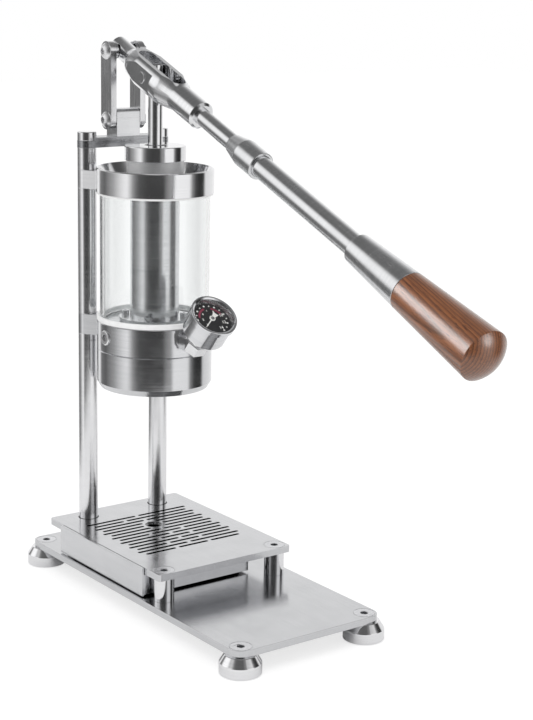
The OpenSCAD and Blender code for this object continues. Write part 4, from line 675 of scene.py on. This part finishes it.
gaugeSet = {
    # radii, and heights along the gauge's axis from the corner of its elbow, in mm
    "caseTop": 39.0, "caseBore": 18.5, "dialTop": 35.4, "dialWall": 0.6, "dialBore": 0.85,
    "bezel": {"radius": 21.4, "bore": 19.85, "lip": 18.4, "skirt": 2.2, "rise": 2.8, "crown": 0.9,
              "slopeStart": 19.9, "slopeEnd": 1.8},
    "windowRadius": 19.8, "windowWall": 1.6, "ringBottom": 17.0, "ringTop": 18.1, "ringGap": 0.05, "lift": 0.02,
    "needleCap": {"radius": 1.75, "bottom": 1.31, "edge": 1.8, "crown": 0.3, "top": 2.0},
    # the scale's angles are in degrees from the viewer's right, and run clockwise from its start
    "print": 0.06, "start": 217.0, "sweep": 283.0, "ticks": 15, "tickRadius": 14.4, "dotRadii": (0.95, 0.7),
    "dotSides": 16, "arcRadii": (10.8, 12.7), "arcs": ((166, 104), (70, 18)), "arcPoints": 25,
    # the numbers from late on are larger and lie further out
    "numberRadius": 9.0, "numberSize": 3.0, "numberWeight": 0.1, "late": 10, "lateScale": 1.4, "lateShift": 2.2,
}


def onDial(x, y, height):
    # dial plane to world: x to the viewer's right on the face, y up the face, height along the gauge's axis
    up = np.array((0.0, math.cos(gaugeTilt), math.sin(gaugeTilt)))
    x, y, height = (np.asarray(q, float)[..., None] for q in (x, y, height))
    return np.array(gaugeRoot) + (x * (1.0, 0.0, 0.0) + y * up + height * np.array(gaugeLine)) * mm


def plateOnDial(name, outlines, low, high, material):
    # flat plates between two heights, each with a closed outline of points on the dial's plane
    points, faces, shift = [], [], 0
    for loop in outlines:
        n = len(loop)
        points += [onDial(*loop.T, low), onDial(*loop.T, high)]
        ring = shift + np.arange(n)
        follow = np.roll(ring, -1)
        faces += np.stack([ring, follow, follow + n, ring + n], 1).tolist()
        faces += [(ring + n).tolist(), ring[::-1].tolist()]
        shift += 2 * n
    piece = meshPiece(name, np.concatenate(points), faces, material)
    piece.data.shade_flat()
    return piece


def onFace(piece, body):
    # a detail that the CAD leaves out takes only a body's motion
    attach(piece, body)


def scaleAngle(g, k):
    return math.radians(g["start"] - g["sweep"] * k / (g["ticks"] - 1))


def makeGauge(g):
    line = [(gaugeRoot, gaugeLine)]
    bright, bolt = metals["gaugeStainless"], metals["boltStainless"]
    rim, top, bezel, cap = g["caseTop"], g["dialTop"], g["bezel"], g["needleCap"]
    window = rim + g["windowWall"]
    dress(turned("gaugeBezel", [(bezel["bore"], rim - bezel["skirt"]), (bezel["radius"], rim - bezel["skirt"]),
                                (bezel["radius"], rim + bezel["rise"], bezel["crown"]),
                                (bezel["slopeStart"], rim + bezel["rise"], 0.5),
                                (bezel["lip"], rim + bezel["slopeEnd"], 0.3), (bezel["lip"], window),
                                (bezel["bore"], window)], bright, line, corner=0.2), "gauge_bezel")
    dress(turned("gaugeWindow", [(0, rim), (g["windowRadius"], rim), (g["windowRadius"], window), (0, window)],
                 glass["gaugeWindowGlass"], line, corner=0.15), "gauge_lens")
    dress(turned("dialPlate", tubeLoop(g["caseBore"], g["dialBore"], top - g["dialWall"], top),
                 moulded["matBlackDialPaint"], line, corner=0.1), "gauge_dial")
    onFace(turned("dialRing", [(g["ringBottom"], top + g["lift"]), (g["caseBore"], top + g["lift"]),
                               (g["caseBore"], rim - g["ringGap"]), (g["ringTop"], rim - g["ringGap"])],
                  bolt, line, corner=0.1), "frame")
    onFace(turned("needleCap", [(0, top + cap["bottom"]), (cap["radius"], top + cap["bottom"]),
                                (cap["radius"], top + cap["edge"], cap["crown"]), (0, top + cap["top"])],
                  bolt, line, corner=0.1, count=40), nodeBody["gauge_needle"])


def makeDialPrint(g):
    # thin raised print: a dot at each tick, larger at every other one, two red arcs, and the numbers
    low, high = g["dialTop"] - g["lift"], g["dialTop"] + g["print"]
    circle = np.linspace(0, 2 * math.pi, g["dotSides"], endpoint=False)
    dots = []
    for k in range(g["ticks"]):
        a, size = scaleAngle(g, k), g["dotRadii"][k % 2]
        dots.append(np.stack([g["tickRadius"] * math.cos(a) + size * np.cos(circle),
                              g["tickRadius"] * math.sin(a) + size * np.sin(circle)], 1))
    onFace(plateOnDial("dialDots", dots, low, high, moulded["whiteEnamel"]), "frame")
    arcs = []
    for start, stop in g["arcs"]:
        sweep = np.radians(np.linspace(start, stop, g["arcPoints"]))
        inner, outer = (r * np.stack([np.cos(sweep), np.sin(sweep)], 1) for r in g["arcRadii"])
        arcs.append(np.concatenate([outer[::-1], inner]))
    onFace(plateOnDial("dialArcs", arcs, low, high, moulded["darkRedEnamel"]), "frame")
    points, faces, shift = [], [], 0
    for k in range(0, g["ticks"], 2):
        a, late = scaleAngle(g, k), k >= g["late"]
        curve = bpy.data.curves.new("number", "FONT")
        curve.body, curve.size = str(k), g["numberSize"] * (g["lateScale"] if late else 1)
        curve.offset = g["numberWeight"]
        curve.align_x, curve.align_y = "CENTER", "CENTER"
        holder = bpy.data.objects.new("number", curve)
        mesh = bpy.data.meshes.new_from_object(holder)
        flat = np.empty(len(mesh.vertices) * 3)
        mesh.vertices.foreach_get("co", flat)
        reach = g["numberRadius"] + g["lateShift"] * late
        x, y = flat.reshape(-1, 3)[:, :2].T + reach * np.array([[math.cos(a)], [math.sin(a)]])
        points.append(onDial(x, y, high))
        faces += [[shift + i for i in face.vertices] for face in mesh.polygons]
        shift += len(x)
        bpy.data.objects.remove(holder)
        bpy.data.meshes.remove(mesh)
        bpy.data.curves.remove(curve)
    numbers = meshPiece("dialNumbers", np.concatenate(points), faces, moulded["whiteEnamel"])
    numbers.data.shade_flat()
    onFace(numbers, "frame")


makeLever(leverSet)
makeGauge(gaugeSet)
makeDialPrint(gaugeSet)
print("lever and gauge made")


# CAD nodes whose shape is right keep it and get their finish

keptNodes = {
    "post_bolts": metals["boltStainless"], "tie_rods": metals["boltStainless"],
    "shower_screen": metals["piercedSheetStainless"], "filter_basket": metals["piercedSheetStainless"],
    "group_gasket": moulded["nitrileRubber"], "piston_seals": moulded["nitrileRubber"],
    "gauge_needle": moulded["whiteEnamel"],
}
for node, material in keptNodes.items():
    for slot in frame["nodes"][node].material_slots:
        slot.material = material
print("kept nodes finished")


# studio world, floor and lamps

studioSet = {
    # brightness of what the camera sees and of the light on matt pieces; then of the ceiling, of the panel straight
    # above and of the table, each with how steeply up, or down for the table, it starts and is full
    "seen": 1.0, "diffuse": 0.80, "overhead": (0.15, 0.28, 0.92), "zenith": (0.65, 0.962, 0.988),
    "table": (0.80, 0.34, 0.60),
    # what upright metal mirrors round the horizon: degrees from the camera's side, and brightness
    "horizon": ((-180, 1.0), (-136, 0.95), (-128, 0.22), (-110, 0.14), (-84, 0.40), (-62, 0.86), (-52, 0.98),
                (-46, 0.70), (-40, 0.34), (-33, 0.17), (-26, 0.09), (-10, 0.055), (20, 0.06), (27, 0.24), (37, 0.38),
                (43, 1.0), (74, 0.97), (81, 0.25), (90, 0.06), (98, 0.03), (112, 0.04), (119, 0.82), (180, 1.0)),
    # the round soft light high on the left: degrees from the camera's side, elevation, inner and outer radius
    "spot": {"side": -92, "height": 22, "inner": 7, "outer": 33, "strength": 1.12},
}


def makeWorld(s):
    # reflections see a plain studio: strip lights beside the camera, a bright backdrop, a round light on the
    # left, a dim ceiling and a pale table; the camera and clear glass see plain white
    world = bpy.data.worlds.new("studio")
    world.use_nodes = True
    tree = world.node_tree
    tree.nodes.clear()
    towards = addNode(tree, "ShaderNodeTexCoord").outputs["Generated"]
    facing = addNode(tree, "ShaderNodeMapping", {"Vector": towards, "Rotation": (
        0, 0, math.radians(-cameraSet["azimuth"]))}, vector_type="POINT")
    x, y, z = addNode(tree, "ShaderNodeSeparateXYZ", (facing,)).outputs
    towardsFront = addNode(tree, "ShaderNodeMath", (y, -1.0), operation="MULTIPLY")
    down = addNode(tree, "ShaderNodeMath", (z, -1.0), operation="MULTIPLY")
    # the angle round the horizon, from 0 to 1
    around = addNode(tree, "ShaderNodeMath", (x, towardsFront), operation="ARCTAN2")
    around = addNode(tree, "ShaderNodeMath", (around, 0.5 / math.pi, 0.5), operation="MULTIPLY_ADD")
    level = addNode(tree, "ShaderNodeValToRGB", (around,))
    stops = level.color_ramp.elements
    while len(stops) < len(s["horizon"]):
        stops.new(0.5)
    for stop, (at, bright) in zip(stops, s["horizon"]):
        stop.position, stop.color = (at + 180) / 360, (bright, bright, bright, 1)
    for height, (bright, start, full) in ((z, s["overhead"]), (z, s["zenith"])):
        part = addNode(tree, "ShaderNodeMapRange", (height, start, full), interpolation_type="SMOOTHSTEP")
        level = addNode(tree, "ShaderNodeMix", {0: part, 2: level, 3: bright})
    # the round light covers directions within an angle of its own: the dot product of the two is its cosine
    spot = s["spot"]
    side, height, inner, outer = (math.radians(spot[key]) for key in ("side", "height", "inner", "outer"))
    aim = (math.sin(side) * math.cos(height), -math.cos(side) * math.cos(height), math.sin(height))
    near = addNode(tree, "ShaderNodeVectorMath", (facing, aim), operation="DOT_PRODUCT")
    glow = addNode(tree, "ShaderNodeMapRange", (near, math.cos(outer), math.cos(inner)),
                   interpolation_type="SMOOTHSTEP")
    glow = addNode(tree, "ShaderNodeMath", (glow, spot["strength"]), operation="MULTIPLY")
    level = addNode(tree, "ShaderNodeMath", (level, glow), operation="MAXIMUM")
    bright, start, full = s["table"]
    part = addNode(tree, "ShaderNodeMapRange", (down, start, full), interpolation_type="SMOOTHSTEP")
    level = addNode(tree, "ShaderNodeMix", {0: part, 2: level, 3: bright})
    rays = addNode(tree, "ShaderNodeLightPath").outputs
    mirrored = addNode(tree, "ShaderNodeMath", (rays["Glossy Depth"], 0.5), operation="GREATER_THAN")
    scattered = addNode(tree, "ShaderNodeMath", (rays["Diffuse Depth"], 0.5), operation="GREATER_THAN")
    level = addNode(tree, "ShaderNodeMix", {0: mirrored, 2: s["seen"], 3: level})
    level = addNode(tree, "ShaderNodeMix", {0: scattered, 2: level, 3: s["diffuse"]})
    sky = addNode(tree, "ShaderNodeBackground", {"Color": linear("#FFFFFF"), "Strength": level})
    addNode(tree, "ShaderNodeOutputWorld", {"Surface": sky})
    bpy.context.scene.world = world


# half width in metres, how much of what is seen is plain white light, how bright that is, and the distance in
# metres over which the floor fades from mirrors
floorSet = {"half": 6.0, "points": 25, "light": "#FAFAFA", "dark": "#F6F6F6", "fibre": 3, "white": 0.58,
            "whiteStrength": 1.22, "fade": (0.48, 0.68)}


def makeFloor(f):
    # matt white card; mirrors see its middle, and past that the studio
    material, tree = blankMaterial("whiteCard")
    fibres = grain(tree, localCoords(tree), [f["fibre"]] * 3)
    paper = addNode(tree, "ShaderNodeMix", {0: addNode(tree, "ShaderNodeMapRange", (fibres, *noiseSpan)),
                                            6: linear(f["dark"]), 7: linear(f["light"])}, data_type="RGBA")
    card = addNode(tree, "ShaderNodeBsdfDiffuse", {"Color": paper})
    glow = addNode(tree, "ShaderNodeEmission", {"Color": linear("#FFFFFF"), "Strength": f["whiteStrength"]})
    lit = addNode(tree, "ShaderNodeMixShader", (f["white"], card, glow))
    rays = addNode(tree, "ShaderNodeLightPath").outputs
    seen = addNode(tree, "ShaderNodeMath", (rays["Is Camera Ray"], rays["Is Transmission Ray"]), operation="MAXIMUM")
    shown = addNode(tree, "ShaderNodeMixShader", (seen, card, lit))
    place = addNode(tree, "ShaderNodeTexCoord").outputs["Object"]
    away = addNode(tree, "ShaderNodeVectorMath", (place,), operation="LENGTH")
    past = addNode(tree, "ShaderNodeMapRange", (away, *f["fade"]), interpolation_type="SMOOTHSTEP")
    mirrored = addNode(tree, "ShaderNodeMath", (rays["Glossy Depth"], 0.5), operation="GREATER_THAN")
    hidden = addNode(tree, "ShaderNodeMath", (mirrored, past), operation="MULTIPLY")
    clear = addNode(tree, "ShaderNodeBsdfTransparent")
    whole = addNode(tree, "ShaderNodeMixShader", (hidden, shown, clear))
    addNode(tree, "ShaderNodeOutputMaterial", {"Surface": whole})
    n = f["points"]
    x, y = np.meshgrid(*[np.linspace(-f["half"], f["half"], n)] * 2)
    points = np.stack([x, y, np.zeros_like(x)], -1).reshape(-1, 3)
    index = np.arange(n * n).reshape(n, n)
    faces = np.stack([index[:-1, :-1], index[:-1, 1:], index[1:, 1:], index[1:, :-1]], -1).reshape(-1, 4)
    floor = meshPiece("floor", points, faces.tolist(), material)


lampSet = {
    "softKey": {"place": (-0.9, -0.5, 1.7), "aim": (0.0, 0.1, 0.2), "size": 1.2, "energy": 9.0, "mirrored": False},
    # two small lamps that only the wooden handle receives, for its long soft highlight and the one on its dome
    "handleStrip": {"place": (-0.74, 0.37, 0.69), "aim": (0.0, -0.21, 0.31), "size": 0.55, "energy": 4.4,
                    "mirrored": True, "only": "walnutHandle"},
    "domeCard": {"place": (0.23, -0.906, 0.42), "aim": (0.0, -0.26, 0.29), "size": 0.34, "energy": 1.3,
                 "mirrored": True, "only": "walnutHandle"},
}


def makeLamp(name, l):
    lamp = bpy.data.lights.new(name, "AREA")
    lamp.shape, lamp.size, lamp.energy = "DISK", l["size"], l["energy"]
    holder = bpy.data.objects.new(name, lamp)
    place = Vector(l["place"])
    aim = Vector(l["aim"]) - place
    holder.matrix_world = Matrix.Translation(place) @ aim.to_track_quat("-Z", "Y").to_matrix().to_4x4()
    holder.visible_glossy = l["mirrored"]
    bpy.context.scene.collection.objects.link(holder)
    if "only" in l:
        lit = bpy.data.collections.new(name + "Lights")
        lit.objects.link(bpy.data.objects[l["only"]])
        holder.light_linking.receiver_collection = lit
        holder.visible_camera = False


makeWorld(studioSet)
makeFloor(floorSet)
for name, settings in lampSet.items():
    makeLamp(name, settings)
print("studio set")
